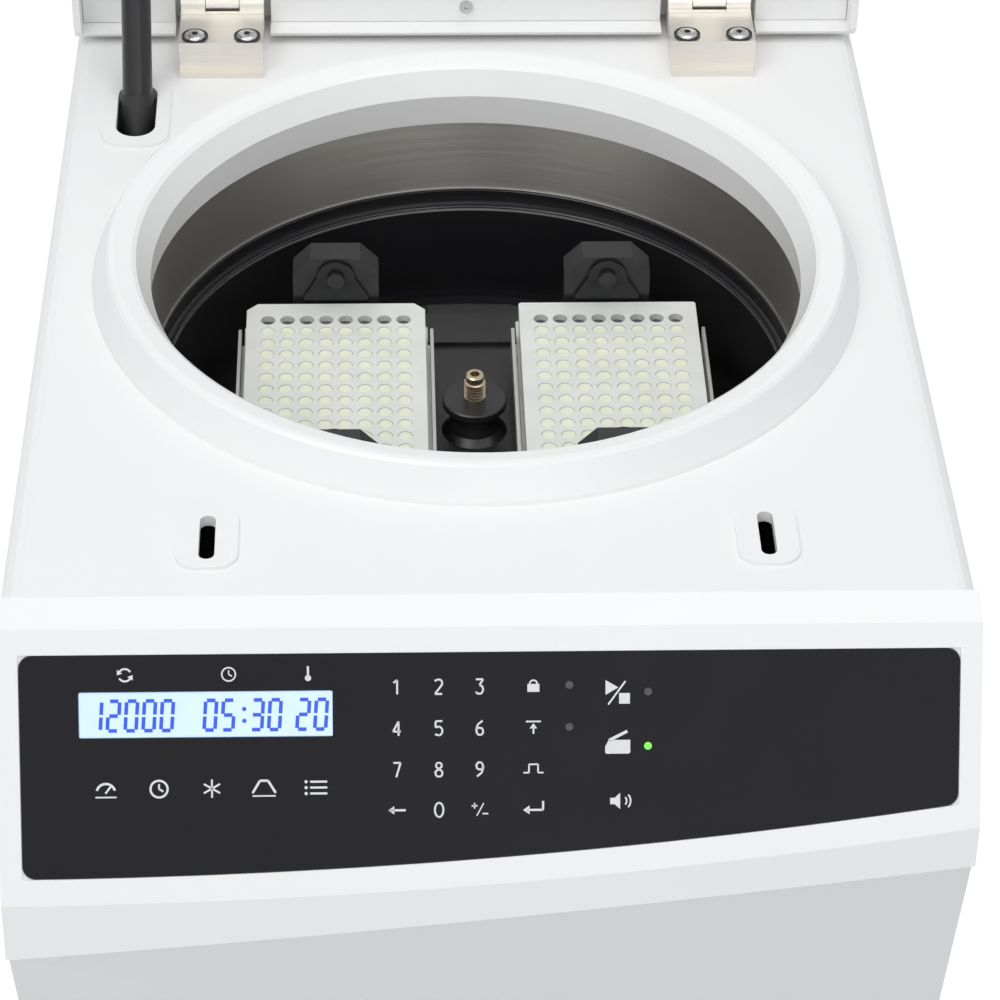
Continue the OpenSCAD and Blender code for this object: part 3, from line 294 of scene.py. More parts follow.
def brushed_round(name, color, rough):
    """Sheet brushed round the Z axis, so that reflections spread up and down it."""
    s = Shader(name)
    streaks = s.noise(1.0, 5.0, s.stretched((14, 14, 2600)))
    s.tone(streaks, darker(color, 0.9), color)
    s.gloss(streaks, rough - 0.05, rough + 0.08)
    s.set(Metallic=1.0, Anisotropic=0.8, Anisotropic_Rotation=0.25)
    tangent = s.add("ShaderNodeTangent", direction_type="RADIAL", axis="Z")
    s.link(tangent.outputs["Tangent"], s.principled.inputs["Tangent"])
    return s.material


def carrier_metal(name, sheet_color, ear_color, rough, middle_y, reach):
    """Brushed sheet for the tray, and dark anodised ears past its ends."""
    s = Shader(name)
    streaks = s.noise(1.0, 4.0, s.stretched((500, 40, 500)))
    mix = s.add("ShaderNodeMix", data_type="RGBA")
    s.link(s.beyond("Y", middle_y, reach), mix.inputs["Factor"])
    s.link(s.ramp(streaks, darker(sheet_color, 0.9), sheet_color), mix.inputs["A"])
    mix.inputs["B"].default_value = (*ear_color, 1)
    s.link(mix.outputs["Result"], s.principled.inputs["Base Color"])
    s.gloss(streaks, rough - 0.05, rough + 0.08)
    s.set(Metallic=0.85)
    s.bump(streaks, 0.25, 0.01)
    return s.material


def glossy(name, color, rough, transmission=0.0, glow=None, strength=0.0):
    """Smooth plastic, glass or a lit face, with slight unevenness."""
    s = Shader(name)
    drift = s.noise(60.0)
    s.tone(drift, darker(color, 0.93), color)
    s.gloss(drift, max(0.02, rough - 0.03), rough + 0.04)
    s.set(Transmission_Weight=transmission)
    if glow:
        s.set(Emission_Color=(*glow, 1), Emission_Strength=strength)
    return s.material


# Plastics: colour, roughness, grain to the metre, its depth in mm and the drift of tone.
# Metals: colour, roughness, streaks to the metre along each axis, their depth in mm, metal and contrast.
MATERIALS = {
    "housing_paint": moulded("housing_paint", (0.83, 0.83, 0.82), 0.4, 700, 0.03),
    "white_moulding": moulded("white_moulding", (0.92, 0.92, 0.915), 0.38, 1100, 0.015, 0.012),
    "grey_moulding": moulded("grey_moulding", (0.74, 0.745, 0.755), 0.42, 1000, 0.02, 0.012),
    "membrane": moulded("membrane", (0.0085, 0.0085, 0.0115), 0.5, 2200, 0.012, 0.003),
    "display": glossy("display", (0.62, 0.78, 0.98), 0.2, glow=(0.55, 0.74, 1.0), strength=0.3),
    "lamp": glossy("lamp", (0.03, 0.035, 0.035), 0.2),
    "circuit_board": moulded("circuit_board", (0.02, 0.16, 0.07), 0.35, 400, 0.05),
    "silicone": moulded("silicone", (0.94, 0.94, 0.935), 0.33, 500, 0.01, 0.01),
    "stainless": brushed_round("stainless", (0.72, 0.70, 0.66), 0.34),
    "bowl_black": moulded("bowl_black", (0.018, 0.018, 0.02), 0.3, 1500, 0.03, 0.004),
    "foam": moulded("foam", (0.62, 0.57, 0.42), 0.85, 300, 0.4, 0.08),
    "black_rubber": moulded("black_rubber", (0.018, 0.018, 0.019), 0.62, 800, 0.04, 0.004),
    "zinc_sheet": brushed("zinc_sheet", (0.56, 0.57, 0.58), 0.42, (60, 60, 60)),
    "motor_grey": moulded("motor_grey", (0.10, 0.105, 0.115), 0.45, 600, 0.05, 0.01),
    "steel": brushed("steel", (0.62, 0.62, 0.62), 0.25, (500, 500, 30), 0.01),
    "anodised": brushed("anodised", (0.06, 0.06, 0.063), 0.36, (260, 260, 260), 0.006, 0.7),
    "brass": brushed("brass", (0.62, 0.53, 0.40), 0.28, (500, 500, 60), 0.006),
    "polystyrene": glossy("polystyrene", (0.80, 0.81, 0.77), 0.2),
    "port_glass": glossy("port_glass", (0.86, 0.92, 0.94), 0.06, transmission=0.9),
    "nickel": brushed("nickel", (0.84, 0.81, 0.76), 0.32, (60, 1800, 1800), 0.004, 1.0, 0.07),
    "black_tube": moulded("black_tube", (0.014, 0.014, 0.016), 0.28, 900, 0.01, 0.003),
    "aluminium_fin": brushed("aluminium_fin", (0.62, 0.63, 0.64), 0.35, (40, 40, 400)),
    "black_plastic": moulded("black_plastic", (0.02, 0.02, 0.021), 0.5, 1200, 0.05, 0.004),
}
MATERIALS["membrane"].node_tree.nodes["Principled BSDF"].inputs["Specular IOR Level"].default_value = FILM_SPECULAR

CARRIER = carrier_metal("carrier_metal", (0.66, 0.66, 0.65), (0.045, 0.045, 0.048), 0.3, CHAMBER.y, TRAY_REACH)
INK = moulded("print_white", (0.80, 0.80, 0.82), 0.5, 2000, 0.005, 0.02)
DIGIT = glossy("display_digit", (0.03, 0.10, 0.75), 0.35, glow=(0.05, 0.16, 1.0), strength=0.12)
LIT = glossy("lamp_lit", (0.12, 0.55, 0.05), 0.2, glow=(0.16, 0.75, 0.04), strength=0.8)
FILL = glossy("sample_fill", (0.86, 0.88, 0.72), 0.14)
# Dark plugs in the empty wells: painted shade, standing also for the dark carrier seen through the clear plastic
PAINTED_WELL_SHADE = glossy("painted_well_shade", (0.10, 0.105, 0.10), 0.15)
RIM_BLACK = moulded("rim_black", (0.02, 0.02, 0.022), 0.22, 900, 0.006, 0.004)
BRASS = brushed("screw_brass", (0.62, 0.52, 0.38), 0.26, (60, 60, 900), 0.004)
BEAD = brushed("bead_steel", (0.22, 0.215, 0.205), 0.42, (60, 60, 60), 0.002)
# Dark rings round the hinge screw heads: painted shade of their counterbores
SHADE = moulded("counterbore_painted_shade", (0.03, 0.03, 0.03), 0.5, 900, 0.005, 0.005)


def dress_nodes():
    """Gives each node the material of its slot. The carriers have their own, and the pins are dark as the ears are."""
    nodes = frame["nodes"]
    for part in frame["record"]["subparts"]:
        nodes[part["node"]].data.materials.clear()
        nodes[part["node"]].data.materials.append(MATERIALS[part["material_slot"]])
    for node in ("carrier_left", "carrier_right"):
        nodes[node].data.materials[0] = CARRIER
    nodes["trunnion_pins"].data.materials[0] = MATERIALS["anodised"]


def new_mesh(name, verts, faces, material, body, smooth_angle=None):
    """One piece from points and faces, merged, with its faces outwards, riding on a body."""
    mesh = bpy.data.meshes.new(name)
    mesh.from_pydata(np.asarray(verts).tolist(), [], faces if isinstance(faces, list) else faces.tolist())
    work = bmesh.new()
    work.from_mesh(mesh)
    bmesh.ops.remove_doubles(work, verts=work.verts, dist=1e-6)
    bmesh.ops.dissolve_degenerate(work, edges=work.edges, dist=1e-7)
    bmesh.ops.recalc_face_normals(work, faces=work.faces)
    if smooth_angle:
        for face in work.faces:
            face.smooth = True
        for edge in work.edges:
            edge.smooth = edge.calc_face_angle(0) < math.radians(smooth_angle)
    work.to_mesh(mesh)
    work.free()
    mesh.materials.append(material)
    piece = bpy.data.objects.new(name, mesh)
    bpy.context.scene.collection.objects.link(piece)
    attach(piece, body)
    return piece


def turned_grid(profile, steps, hexed=()):
    """Points and faces of a closed (radius, height) profile carried round the Z axis: x = r cos a, y = r sin a.
    Places listed in hexed lie on a hexagon, whose radius is cos 30 over cos of the angle from its flat's middle."""
    flat = np.asarray(profile, float)
    count = len(flat)
    angle = np.arange(steps) * 2 * np.pi / steps
    share = np.ones((steps, count))
    share[:, list(hexed)] = (math.cos(math.pi / 6) / np.cos(angle % (np.pi / 3) - np.pi / 6))[:, None]
    radius = share * flat[:, 0]
    points = np.stack([radius * np.cos(angle)[:, None], radius * np.sin(angle)[:, None],
                       np.broadcast_to(flat[:, 1], radius.shape)], -1).reshape(-1, 3)
    k, i = np.meshgrid(np.arange(steps), np.arange(count), indexing="ij")
    m, j = (k + 1) % steps, (i + 1) % count
    quads = np.stack([k * count + i, k * count + j, m * count + j, m * count + i], -1)
    off_axis = (flat[i, 0] > 0) | (flat[j, 0] > 0)
    return points, quads[off_axis]


def lathe(name, profile, centre, material, body, steps=96, hexed=()):
    """One turned piece round the upright axis through a centre."""
    points, quads = turned_grid(profile, steps, hexed)
    place = np.array((centre[0], centre[1], 0))
    return new_mesh(name, points * MM + place, quads, material, body, smooth_angle=38)


def fillet(before, corner, after, radius, steps=8):
    """Points of the arc that rounds one corner. It touches both sides, and its centre lies on the corner's bisector."""
    corner = np.asarray(corner, float)
    a, b = (v / np.linalg.norm(v) for v in (np.asarray(before) - corner, np.asarray(after) - corner))
    half = math.acos(float(np.dot(a, b))) / 2
    centre = corner + (a + b) / np.linalg.norm(a + b) * radius / math.sin(half)
    start, end = (corner + v * radius / math.tan(half) - centre for v in (a, b))
    t = np.linspace(0, 1, steps + 1)[:, None]
    turn = math.pi - 2 * half
    return centre + (start * np.sin((1 - t) * turn) + end * np.sin(t * turn)) / math.sin(turn)


class Print:
    """Flat shapes collected on the sloping face, each a thin closed plate, drawn about a middle that can be moved."""

    def __init__(self, out_mm):
        self.verts = []
        self.faces = []
        self.count = 0
        self.out = out_mm
        self.middle = (0, 0)

    def plate(self, outline):
        """A closed outline of (across, down) places in mm, as a plate PRINT_T thick."""
        places = np.asarray(outline, float) + self.middle
        n = len(places)
        self.verts += [face_points(places, self.out), face_points(places, self.out + PRINT_T / MM)]
        ring = np.arange(n)
        ahead = (ring + 1) % n
        sides = np.stack([ring, ahead, n + ahead, n + ring], -1)
        self.faces += [(ring[::-1] + self.count).tolist(), (ring + n + self.count).tolist()]
        self.faces += (sides + self.count).tolist()
        self.count += 2 * n

    def bar(self, start, end, width):
        """A straight stroke between two places."""
        dx, ds = end[0] - start[0], end[1] - start[1]
        length = math.hypot(dx, ds)
        nx, ns = -ds / length * width / 2, dx / length * width / 2
        self.plate([(start[0] + nx, start[1] + ns), (end[0] + nx, end[1] + ns),
                    (end[0] - nx, end[1] - ns), (start[0] - nx, start[1] - ns)])

    def path(self, places, width):
        """Straight strokes from place to place."""
        for start, end in zip(places, places[1:]):
            self.bar(start, end, width)

    def arc(self, centre, radius, start, end, width, steps=14):
        """Part of a ring between two angles in degrees, in short plates: across = r cos a, down = -r sin a."""
        a = np.radians(np.linspace(start, end, steps + 1))
        spoke = np.stack([np.cos(a), -np.sin(a)], -1)
        outer, inner = (np.array(centre) + spoke * (radius + side * width / 2) for side in (1, -1))
        for i in range(steps):
            self.plate([outer[i], outer[i + 1], inner[i + 1], inner[i]])

    def disc(self, centre, radius, steps=20):
        """A round dot: across = r cos a, down = r sin a."""
        a = np.arange(steps) * 2 * np.pi / steps
        self.plate(np.array(centre) + radius * np.stack([np.cos(a), np.sin(a)], -1))

    def done(self, name, material):
        """The collected shapes as one piece on the base."""
        return new_mesh(name, np.concatenate(self.verts), self.faces, material, "base")


# The strokes of a seven segment digit: top, upper right, lower right, bottom, lower left, upper left and middle
SEGMENTS = {"0": "abcdef", "1": "bc", "2": "abged", "3": "abgcd", "5": "afgcd"}


def seven_segment(sheet, text, left, middle, height, stroke):
    """Digits made of seven strokes, which lean: across grows by the lean times the height above the middle.
    A colon is two dots."""
    width = height * 0.36
    half = height / 2
    gap = stroke * 0.35

    def leaning(x, y):
        return x + (middle - y) * READING_LEAN, y

    for mark in text:
        if mark == ":":
            for sign in (-1, 1):
                sheet.disc((left + stroke, middle + sign * height * 0.2), stroke * 0.6)
            left += stroke * 3
            continue
        right, top, low = left + width, middle - half, middle + half
        strokes = {"a": ((left, top), (right, top)), "g": ((left, middle), (right, middle)),
                   "d": ((left, low), (right, low)), "f": ((left, top), (left, middle)),
                   "b": ((right, top), (right, middle)), "e": ((left, middle), (left, low)),
                   "c": ((right, middle), (right, low))}
        for name in SEGMENTS[mark]:
            (ax, ay), (bx, by) = strokes[name]
            ux, uy = (gap, 0) if ay == by else (0, gap)
            sheet.bar(leaning(ax + ux, ay + uy), leaning(bx - ux, by - uy), stroke)
        left += width + stroke * 1.9


def make_display():
    """Plain numbers on the lit display."""
    sheet = Print(DISPLAY_OUT)
    for text, left in READINGS:
        seven_segment(sheet, text, left, READING_DOWN, READING_H, READING_STROKE)
    sheet.done("display_digits", DIGIT)


# The keypad's digits as strokes about their middles, 2 wide and 4 high
KEY_DIGITS = {
    "1": [(-0.8, -1.2), (0.2, -2), (0.2, 2)],
    "2": [(-1, -1.6), (-0.4, -2), (0.6, -2), (1, -1.4), (1, -0.6), (-1, 2), (1, 2)],
    "3": [(-1, -2), (1, -2), (0, -0.4), (0.8, 0), (1, 1), (0.5, 2), (-0.6, 2), (-1, 1.5)],
    "4": [(0.5, 2), (0.5, -2), (-1, 0.8), (1.1, 0.8)],
    "5": [(1, -2), (-0.8, -2), (-0.9, -0.3), (0.3, -0.5), (1, 0.3), (0.9, 1.4), (0.2, 2), (-1, 1.7)],
    "6": [(0.8, -2), (-0.5, -1), (-1, 0.6), (-0.6, 1.8), (0.4, 2), (1, 1.2), (0.7, 0.1), (-0.4, -0.1), (-0.95, 0.7)],
    "7": [(-1, -2), (1, -2), (-0.2, 2)],
    "8": [(0, -0.2), (-0.8, -0.8), (-0.7, -1.7), (0, -2), (0.7, -1.7), (0.8, -0.8), (0, -0.2), (-1, 0.6),
          (-0.8, 1.7), (0, 2), (0.8, 1.7), (1, 0.6), (0, -0.2)],
    "9": [(0.95, -0.7), (0.4, 0.1), (-0.7, -0.1), (-1, -1.2), (-0.4, -2), (0.6, -1.8), (1, -0.6), (0.5, 1), (-0.8, 2)],
}


def zero(sheet):
    """An upright ring of strokes: across = w cos a, down = h sin a."""
    a = np.arange(25) * np.pi / 12
    sheet.path(np.stack([ZERO_W * np.cos(a), ZERO_H * np.sin(a)], -1), KEY_STROKE)


def back_arrow(sheet):
    """An arrow to the left."""
    sheet.path([(3.4, 0), (-3.0, 0)], 0.9)
    sheet.plate([(-3.6, 0), (-1.2, -1.7), (-1.2, 1.7)])


def plus_or_minus(sheet):
    """A plus and a minus on either side of a slanting stroke."""
    sheet.bar((-3.3, -1.5), (-1.0, -1.5), 0.6)
    sheet.bar((-2.15, -2.65), (-2.15, -0.35), 0.6)
    sheet.bar((-1.3, 2.6), (1.5, -2.6), 0.5)
    sheet.bar((1.0, 1.7), (3.3, 1.7), 0.6)


def make_keypad():
    """Plain digits on the keypad, with a back arrow and a plus and minus."""
    sheet = Print(0.0)
    for i, strokes in enumerate(KEY_DIGITS.values()):
        sheet.middle = (KEYPAD_X[i % 3], KEYPAD_DOWN[i // 3])
        sheet.path(np.array(strokes) * KEY_DIGIT_SIZE, KEY_STROKE)
    for across, draw in zip((KEYPAD_X[1], KEYPAD_X[0], KEYPAD_X[2]), (zero, back_arrow, plus_or_minus)):
        sheet.middle = (across, KEYPAD_DOWN[3])
        draw(sheet)
    sheet.done("keypad_print", INK)


def turning(sheet):
    """Two arrows that follow each other round, for speed."""
    radius, width, sweep = 2.5, 0.75, 115
    for start in (30, 210):
        sheet.arc((0, 0), radius, start, start + sweep, width)
        a = math.radians(start + sweep)
        across = np.array((math.cos(a), -math.sin(a)))
        along = np.array((-math.sin(a), -math.cos(a)))
        tip, head = radius * across, width * 1.7
        sheet.plate([tip + along * head * 1.4, tip + across * head, tip - across * head])


def clock(sheet, radius, width):
    """A dial with two hands, for time."""
    sheet.arc((0, 0), radius, 0, 360, width, 28)
    sheet.path([(0, -radius * 0.6), (0, 0), (radius * 0.5, radius * 0.3)], width * 0.9)


def thermometer(sheet):
    """A stem and its bulb, for temperature."""
    sheet.bar((0, -3.0), (0, 1.0), 0.9)
    sheet.disc((0, 1.8), 1.25)


def gauge(sheet):
    """A dial's upper part with its needle, over a line, for speed."""
    sheet.arc((0, 1.4), 3.7, 15, 165, 0.95)
    sheet.bar((-0.2, 1.6), (2.0, -1.2), 0.8)
    sheet.bar((-4.2, 3.2), (4.2, 3.2), 0.6)


def frost_star(sheet):
    """Three crossed strokes and a dot, for cold."""
    for degrees in (30, 90, 150):
        a = math.radians(degrees)
        tip = 3.7 * np.array((math.cos(a), math.sin(a)))
        sheet.bar(-tip, tip, 0.75)
    sheet.disc((0, 0), 1.1, 6)


def ramp_up_and_down(sheet):
    """A rise, a level and a fall over a line, for how fast the rotor starts and stops."""
    sheet.path([(-4.6, 2.0), (-1.6, -3.0), (1.6, -3.0), (4.6, 2.0)], 0.95)
    sheet.bar((-4.6, 3.2), (4.6, 3.2), 0.6)


def listing(sheet):
    """Three lines with a dot before each, for stored runs."""
    for down in (-2.4, 0.0, 2.4):
        sheet.disc((-4.0, down), 0.65, 12)
        sheet.bar((-2.4, down), (4.4, down), 0.85)


def start_or_stop(sheet):
    """A triangle and a square on either side of a slanting stroke."""
    sheet.plate([(-4.8, -5.0), (-4.8, 1.0), (0.3, -2.0)])
    sheet.bar((-3.7, 4.9), (3.1, -4.5), 0.7)
    sheet.plate([(0.6, 0.3), (4.9, 0.3), (4.9, 4.6), (0.6, 4.6)])


def open_lid(sheet):
    """A box with its lid raised."""
    sheet.plate([(-5.0, 0), (-3.6, -2.6), (5.0, -2.6), (5.0, 2.6), (4.4, 3.0), (-4.4, 3.0), (-5.0, 2.6)])
    sheet.bar((-3.5, -2.4), (3.8, -6.1), 1.2)


def loudspeaker(sheet):
    """A loudspeaker and two waves, for sound."""
    sheet.plate([(-4.4, -1.3), (-2.6, -1.3), (-0.4, -3.3), (-0.4, 3.3), (-2.6, 1.3), (-4.4, 1.3)])
    for radius in (2.2, 3.8):
        sheet.arc((0, 0), radius, -42, 42, 0.65, 8)


def enter_arrow(sheet):
    """An arrow down and then to the left."""
    sheet.path([(3.8, -3.6), (3.8, 0), (-2.8, 0)], 0.85)
    sheet.plate([(-4.2, 0), (-1.6, -1.8), (-1.6, 1.8)])


def padlock(sheet):
    """A body with its shackle, for a locked keypad."""
    sheet.plate([(-2.4, -0.6), (2.4, -0.6), (2.4, 2.6), (-2.4, 2.6)])
    sheet.arc((0, -0.6), 1.5, 0, 180, 0.65)


def level_mark(sheet):
    """An arrow up to a line."""
    sheet.bar((-3.0, -2.4), (3.0, -2.4), 0.65)
    sheet.bar((0, 2.6), (0, -0.4), 0.7)
    sheet.plate([(0, -1.7), (-1.5, 0.4), (1.5, 0.4)])


def pulse(sheet):
    """A square wave, for a short run."""
    sheet.path([(-4.0, 1.6), (-1.8, 1.6), (-1.8, -1.8), (1.8, -1.8), (1.8, 1.6), (4.0, 1.6)], 0.65)


# Each symbol with its place across and down the face, and its sizes where it has any: three over the display,
# five keys under it, and the keys at the right
SYMBOLS = (
    (turning, -145.0, 18.4), (clock, -104.0, 18.4, 2.7, 0.6), (thermometer, -72.6, 18.4),
    (gauge, -153.3, 64.6), (clock, -132.2, 64.6, 3.4, 0.85), (frost_star, -111.2, 64.6),
    (ramp_up_and_down, -90.5, 64.6), (listing, -69.8, 64.6),
    (start_or_stop, 50.3, 27.1), (open_lid, 50.4, 49.0), (loudspeaker, 51.8, 71.3),
    (enter_arrow, 16.8, 74.6), (padlock, 16.8, 24.0), (level_mark, 16.8, 41.0), (pulse, 16.8, 57.8),
)


def make_symbols():
    """Plain control symbols at their places on the film."""
    sheet = Print(0.0)
    for draw, across, down, *sizes in SYMBOLS:
        sheet.middle = (across, down)
        draw(sheet, *sizes)
    sheet.done("control_symbols", INK)


def make_lit_lamp():
    """The status lamp that is lit."""
    sheet = Print(LAMP_OUT)
    sheet.disc(LIT_LAMP, LAMP_R, 24)
    sheet.done("lit_lamp", LIT)


def film_outline():
    """The film's edge in mm: straight at the top and sides, with rounded corners. Its lower edge is an arc that starts
    level at the console's left side: down = low - R + sqrt(R^2 - (across - start)^2)."""
    low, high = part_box("membrane_panel")
    half = (high[0] - low[0]) / 2 / MM
    console_low, console_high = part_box("front_console")
    start = FILM_INSET - (console_high[0] - console_low[0]) / 2 / MM
    across = np.linspace(half, -half, 49)
    foot = np.stack([across, FILM_LOW - FILM_ARC + np.sqrt(FILM_ARC ** 2 - (across - start) ** 2)], -1)
    left, right = (-half, FILM_SIDE), (half, FILM_SIDE)
    return np.concatenate([
        fillet(left, (-half, FILM_TOP), (0, FILM_TOP), FILM_CORNER),
        fillet((0, FILM_TOP), (half, FILM_TOP), right, FILM_CORNER),
        fillet(right, foot[0], foot[3], FILM_CORNER), foot[2:-2],
        fillet(foot[-4], foot[-1], left, FILM_CORNER)])


def window_outline():
    """The display's window in mm: a rectangle with rounded corners."""
    corners = np.array(((-1, -1), (1, -1), (1, 1), (-1, 1))) * WINDOW_SIZE / 2 + WINDOW_MIDDLE
    return np.concatenate([fillet(corners[i - 1], corners[i], corners[(i + 1) % 4], WINDOW_CORNER, 4)
                           for i in range(4)])


def make_film():
    """The printed film with its rounded corners, its window and its lamp holes, in place of the plain one.
    Front and back are the outline less its holes, and each edge loop is carried straight back between them."""
    a = np.arange(24) * np.pi / 12
    circle = LAMP_HOLE_R * np.stack([np.cos(a), np.sin(a)], -1)
    loops = [film_outline(), window_outline()] + [circle + place for place in LAMP_PLACES]
    flat = np.concatenate(loops)
    count = len(flat)
    verts = np.concatenate([face_points(flat), face_points(flat, -FILM_DEEP)])
    front = np.array(tessellate_polygon([[Vector((*place, 0)) for place in loop] for loop in loops]))
    faces = front.tolist() + (front[:, ::-1] + count).tolist()
    first = 0
    for loop in loops:
        ring = np.arange(len(loop))
        ahead = (ring + 1) % len(loop)
        faces += (np.stack([ring, ahead, count + ahead, count + ring], -1) + first).tolist()
        first += len(loop)
    film = new_mesh("film", verts, faces, MATERIALS["membrane"], "base")
    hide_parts("membrane_panel")


def make_chamber_rings():
    """The black band at the foot of the steel wall, and the bead that ends the wall over it, both turned.
    The bead is most of a circle: radius = wall - 0.25 - b cos a, height = middle + b sin a."""
    low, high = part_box("chamber_wall")
    wall = (high[0] - low[0]) / 2 / MM - WALL_SHEET
    bowl = wall - BOWL_STEP
    z = low[2] / MM + WALL_SHEET
    band = [(wall - 0.03, z + 7.8), (wall - 0.5, z + 8.1), (wall - 0.9, z + 7.6), (wall - 0.55, z + 7.0),
            (wall - 0.5, z + 2.2), (wall - 1.0, z + 1.0), (wall - 2.2, z + 0.5), (bowl + 1.6, z + 0.45),
            (bowl + 1.2, z + 1.0), (bowl + 0.6, z + 1.1), (bowl + 0.15, z + 0.7), (bowl + 0.1, z + 0.05),
            (wall - 0.03, z + 0.05)]
    lathe("chamber_band", band, CHAMBER, RIM_BLACK, "base", 192)
    a = np.arange(-5, 6) * np.pi / 6
    bead = np.stack([wall - 0.25 - BEAD_R * np.cos(a), z + BEAD_UP + BEAD_R * np.sin(a)], -1)
    lathe("wall_bead", np.vstack([bead, (wall - 0.02, z + BEAD_UP)]), CHAMBER, BEAD, "base", 192)


def make_lock_screw():
    """The screw that holds the rotor, turned: a shank, grooves one pitch apart, a neck and a hexagon socket."""
    low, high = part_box("rotor_lock_screw")
    base, top = low[2] / MM, high[2] / MM
    head = top - HEAD_H
    groove = np.array(((ROOT_R, 0), (ROOT_R + 0.05, 0.35), (CREST_R, 0.85), (CREST_R, 1.15)))
    first = head + 1.9
    profile = np.vstack([
        [(0, base), (SHANK_R, base), (SHANK_R, head), (HEAD_R, head + 0.2), (HEAD_R, head + 1.5)],
        *(groove + (0, first + k * GROOVE_PITCH) for k in range(GROOVES)),
        [(ROOT_R, first + GROOVES * GROOVE_PITCH), (ROOT_R, top - 1.9), (4.3, top - 1.5), (4.3, top - 0.6),
         (3.7, top), (SOCKET_R, top), (SOCKET_R, top - SOCKET_DEEP), (0, top - SOCKET_DEEP)]])
    count = len(profile)
    screw = lathe("lock_screw", profile, CHAMBER, BRASS, "rotor", 72, hexed=(count - 3, count - 2))
    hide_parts("rotor_lock_screw")


def make_hinge_heads():
    """Domed heads with a hexagon socket on the hinge screws, each with a dark ring round it as painted shade of its
    counterbore, both turned.
    """
    low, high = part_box("hinge_screws")
    top = high[2] / MM
    outer = high[0] / MM - HINGE_HEAD_R
    inner = outer - HINGE_SCREW_PITCH
    y = (low[1] + high[1]) / 2
    dome = [(1.6, top + 0.05), (5.0, top + 0.05), (5.0, top + 0.5), (4.6, top + 1.2), (3.6, top + 1.7),
            (2.0, top + 1.95), (1.6, top + 1.9)]
    groove = [(5.15, top + 0.06), (6.3, top + 0.06), (6.3, top + 0.72), (5.15, top + 0.12)]
    for i, x in enumerate((-outer, -inner, inner, outer)):
        centre = (x * MM, y)
        lathe("hinge_head_%d" % i, dome, centre, MATERIALS["steel"], "base", 48, hexed=(0, 6))
        # The dark ring is painted shade where the counterbore lies round the head
        lathe("hinge_counterbore_shade_%d" % i, groove, centre, SHADE, "base", 48)


def well_columns(name, node, body, rows, profile, material):
    """A turned (radius, height from the plate's top) profile repeated in the wells of some rows, one pitch apart
    each way about the plate's middle."""
    unit, quads = turned_grid(profile, 20)
    column, row = np.meshgrid(np.arange(PLATE_COLUMNS) - (PLATE_COLUMNS - 1) / 2,
                              np.array(rows) - (PLATE_ROWS - 1) / 2, indexing="ij")
    wells = np.stack([column.ravel() * WELL_PITCH, row.ravel() * WELL_PITCH, np.zeros(column.size)], -1)
    middle = np.array((*middle_of(node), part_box(node)[1][2]))
    verts = (wells[:, None] + unit).reshape(-1, 3) * MM + middle
    faces = (quads + (np.arange(len(wells)) * len(unit))[:, None, None]).reshape(-1, 4)
    return new_mesh(name, verts, faces, material, body, smooth_angle=50)


def make_samples():
    """Sample with a shallow meniscus in all rows of each plate but the rear one, which is empty and holds dark plugs as
    painted shade.
    """
    edge = WELL_R * 0.97
    sample = [(0, -WELL_DEEP), (edge, -WELL_DEEP), (edge, -0.35), (edge * 0.86, -0.62), (edge * 0.6, -0.7), (0, -0.7)]
    # The empty wells are filled up to about 3 mm under the top with a dark plug: painted shade, and the dark carrier
    # seen through the clear bottom
    empty = [(0, -WELL_DEEP), (edge, -WELL_DEEP), (edge, -3.0), (edge * 0.5, -3.2), (0, -3.2)]
    rear = PLATE_ROWS - 1
    for side, body in (("left", "carrier_l"), ("right", "carrier_r")):
        well_columns("sample_" + side, "microplate_" + side, body, range(rear), sample, FILL)
        well_columns("empty_row_" + side, "microplate_" + side, body, (rear,), empty, PAINTED_WELL_SHADE)


def soften_edges():
    """Rounds the sharp edges of the shown rigid nodes a little."""
    for node, width in EDGE_WIDTHS.items():
        bevel = frame["nodes"][node].modifiers.new("edge", "BEVEL")
        bevel.width = width * MM
        bevel.segments = 2
        bevel.limit_method = "ANGLE"
        bevel.angle_limit = math.radians(EDGE_ANGLE)
        bevel.harden_normals = False


def seen_or_reflected(nodes, links):
    """1 for rays from the camera and for those that metal or glass sends on, and 0 for light on the object."""
    path = nodes.new("ShaderNodeLightPath")
    factor = path.outputs["Is Camera Ray"]
    for kind in ("Is Glossy Ray", "Is Transmission Ray"):
        either = nodes.new("ShaderNodeMath")
        either.operation = "MAXIMUM"
        links.new(factor, either.inputs[0])
        links.new(path.outputs[kind], either.inputs[1])
        factor = either.outputs[0]
    return factor


def make_floor():
    """Pale floor under the feet, white where it is seen, with the object's shadow on it."""
    bpy.ops.mesh.primitive_plane_add(size=FLOOR_SIZE, location=(0, 0, 0))
    floor = bpy.context.object
    floor.name = "floor"
    pale = moulded("floor_pale", (0.92, 0.92, 0.92), 0.7, 60, 0.01, 0.01)
    nodes, links = pale.node_tree.nodes, pale.node_tree.links
    lift = nodes.new("ShaderNodeMath")
    lift.operation = "MULTIPLY"
    lift.inputs[1].default_value = FLOOR_LIFT
    links.new(seen_or_reflected(nodes, links), lift.inputs[0])
    nodes["Principled BSDF"].inputs["Emission Color"].default_value = (1, 1, 1, 1)
    links.new(lift.outputs[0], nodes["Principled BSDF"].inputs["Emission Strength"])
    floor.data.materials.append(pale)


def add_soft_box(name, place, target, size, power):
    """A rectangular area lamp turned to face its target."""
    data = bpy.data.lights.new(name, "AREA")
    data.shape = "RECTANGLE"
    data.size, data.size_y = size
    data.energy = power
    light = bpy.data.objects.new(name, data)
    light.location = place
    light.rotation_euler = (Vector(target) - Vector(place)).to_track_quat("-Z", "Y").to_euler()
    bpy.context.scene.collection.objects.link(light)


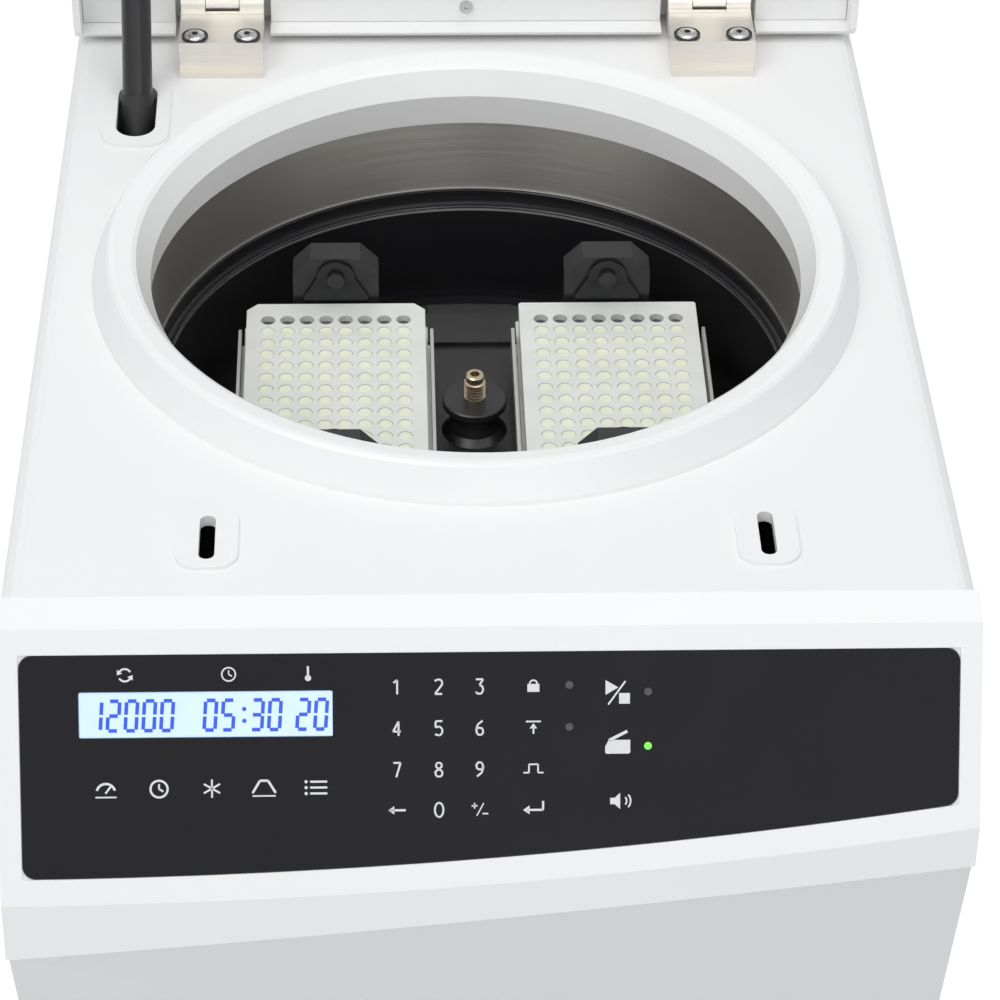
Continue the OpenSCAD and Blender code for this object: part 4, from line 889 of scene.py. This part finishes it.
def make_light():
    """White surroundings, seen directly and in reflections, with soft boxes above, in front and at the left."""
    world = bpy.data.worlds.new("studio")
    bpy.context.scene.world = world
    world.use_nodes = True
    nodes, links = world.node_tree.nodes, world.node_tree.links
    nodes.clear()
    soft = nodes.new("ShaderNodeBackground")
    soft.inputs["Color"].default_value = SKY_COLOR
    soft.inputs["Strength"].default_value = SKY_STRENGTH
    white = nodes.new("ShaderNodeBackground")
    white.inputs["Strength"].default_value = 1.0
    mix = nodes.new("ShaderNodeMixShader")
    out = nodes.new("ShaderNodeOutputWorld")
    links.new(seen_or_reflected(nodes, links), mix.inputs["Fac"])
    links.new(soft.outputs["Background"], mix.inputs[1])
    links.new(white.outputs["Background"], mix.inputs[2])
    links.new(mix.outputs["Shader"], out.inputs["Surface"])
    for box in SOFT_BOXES:
        add_soft_box(*box)


def make_camera():
    """The photograph's camera. Its own axes are worked out from yaw, pitch and roll."""
    forward = Vector((math.sin(CAMERA_YAW) * math.cos(CAMERA_PITCH),
                      math.cos(CAMERA_YAW) * math.cos(CAMERA_PITCH), -math.sin(CAMERA_PITCH)))
    level = Vector((math.cos(CAMERA_YAW), -math.sin(CAMERA_YAW), 0))
    upright = level.cross(forward)
    right = level * math.cos(CAMERA_ROLL) + upright * math.sin(CAMERA_ROLL)
    up = -level * math.sin(CAMERA_ROLL) + upright * math.cos(CAMERA_ROLL)
    data = bpy.data.cameras.new("camera")
    data.sensor_width = SENSOR_MM
    data.lens = SENSOR_MM * FOCAL_PX / IMAGE_PX
    data.clip_end = 50
    camera = bpy.data.objects.new("camera", data)
    turn = Matrix((right, up, -forward)).transposed().to_4x4()
    camera.matrix_world = Matrix.Translation(CHAMBER + CAMERA_FROM_CHAMBER) @ turn
    bpy.context.scene.collection.objects.link(camera)
    bpy.context.scene.camera = camera


make_camera()
make_light()
make_floor()
dress_nodes()
make_display()
make_keypad()
make_symbols()
make_lit_lamp()
make_film()
make_chamber_rings()
make_lock_screw()
make_hinge_heads()
make_samples()
soften_edges()
bpy.context.scene.view_settings.view_transform = "Standard"
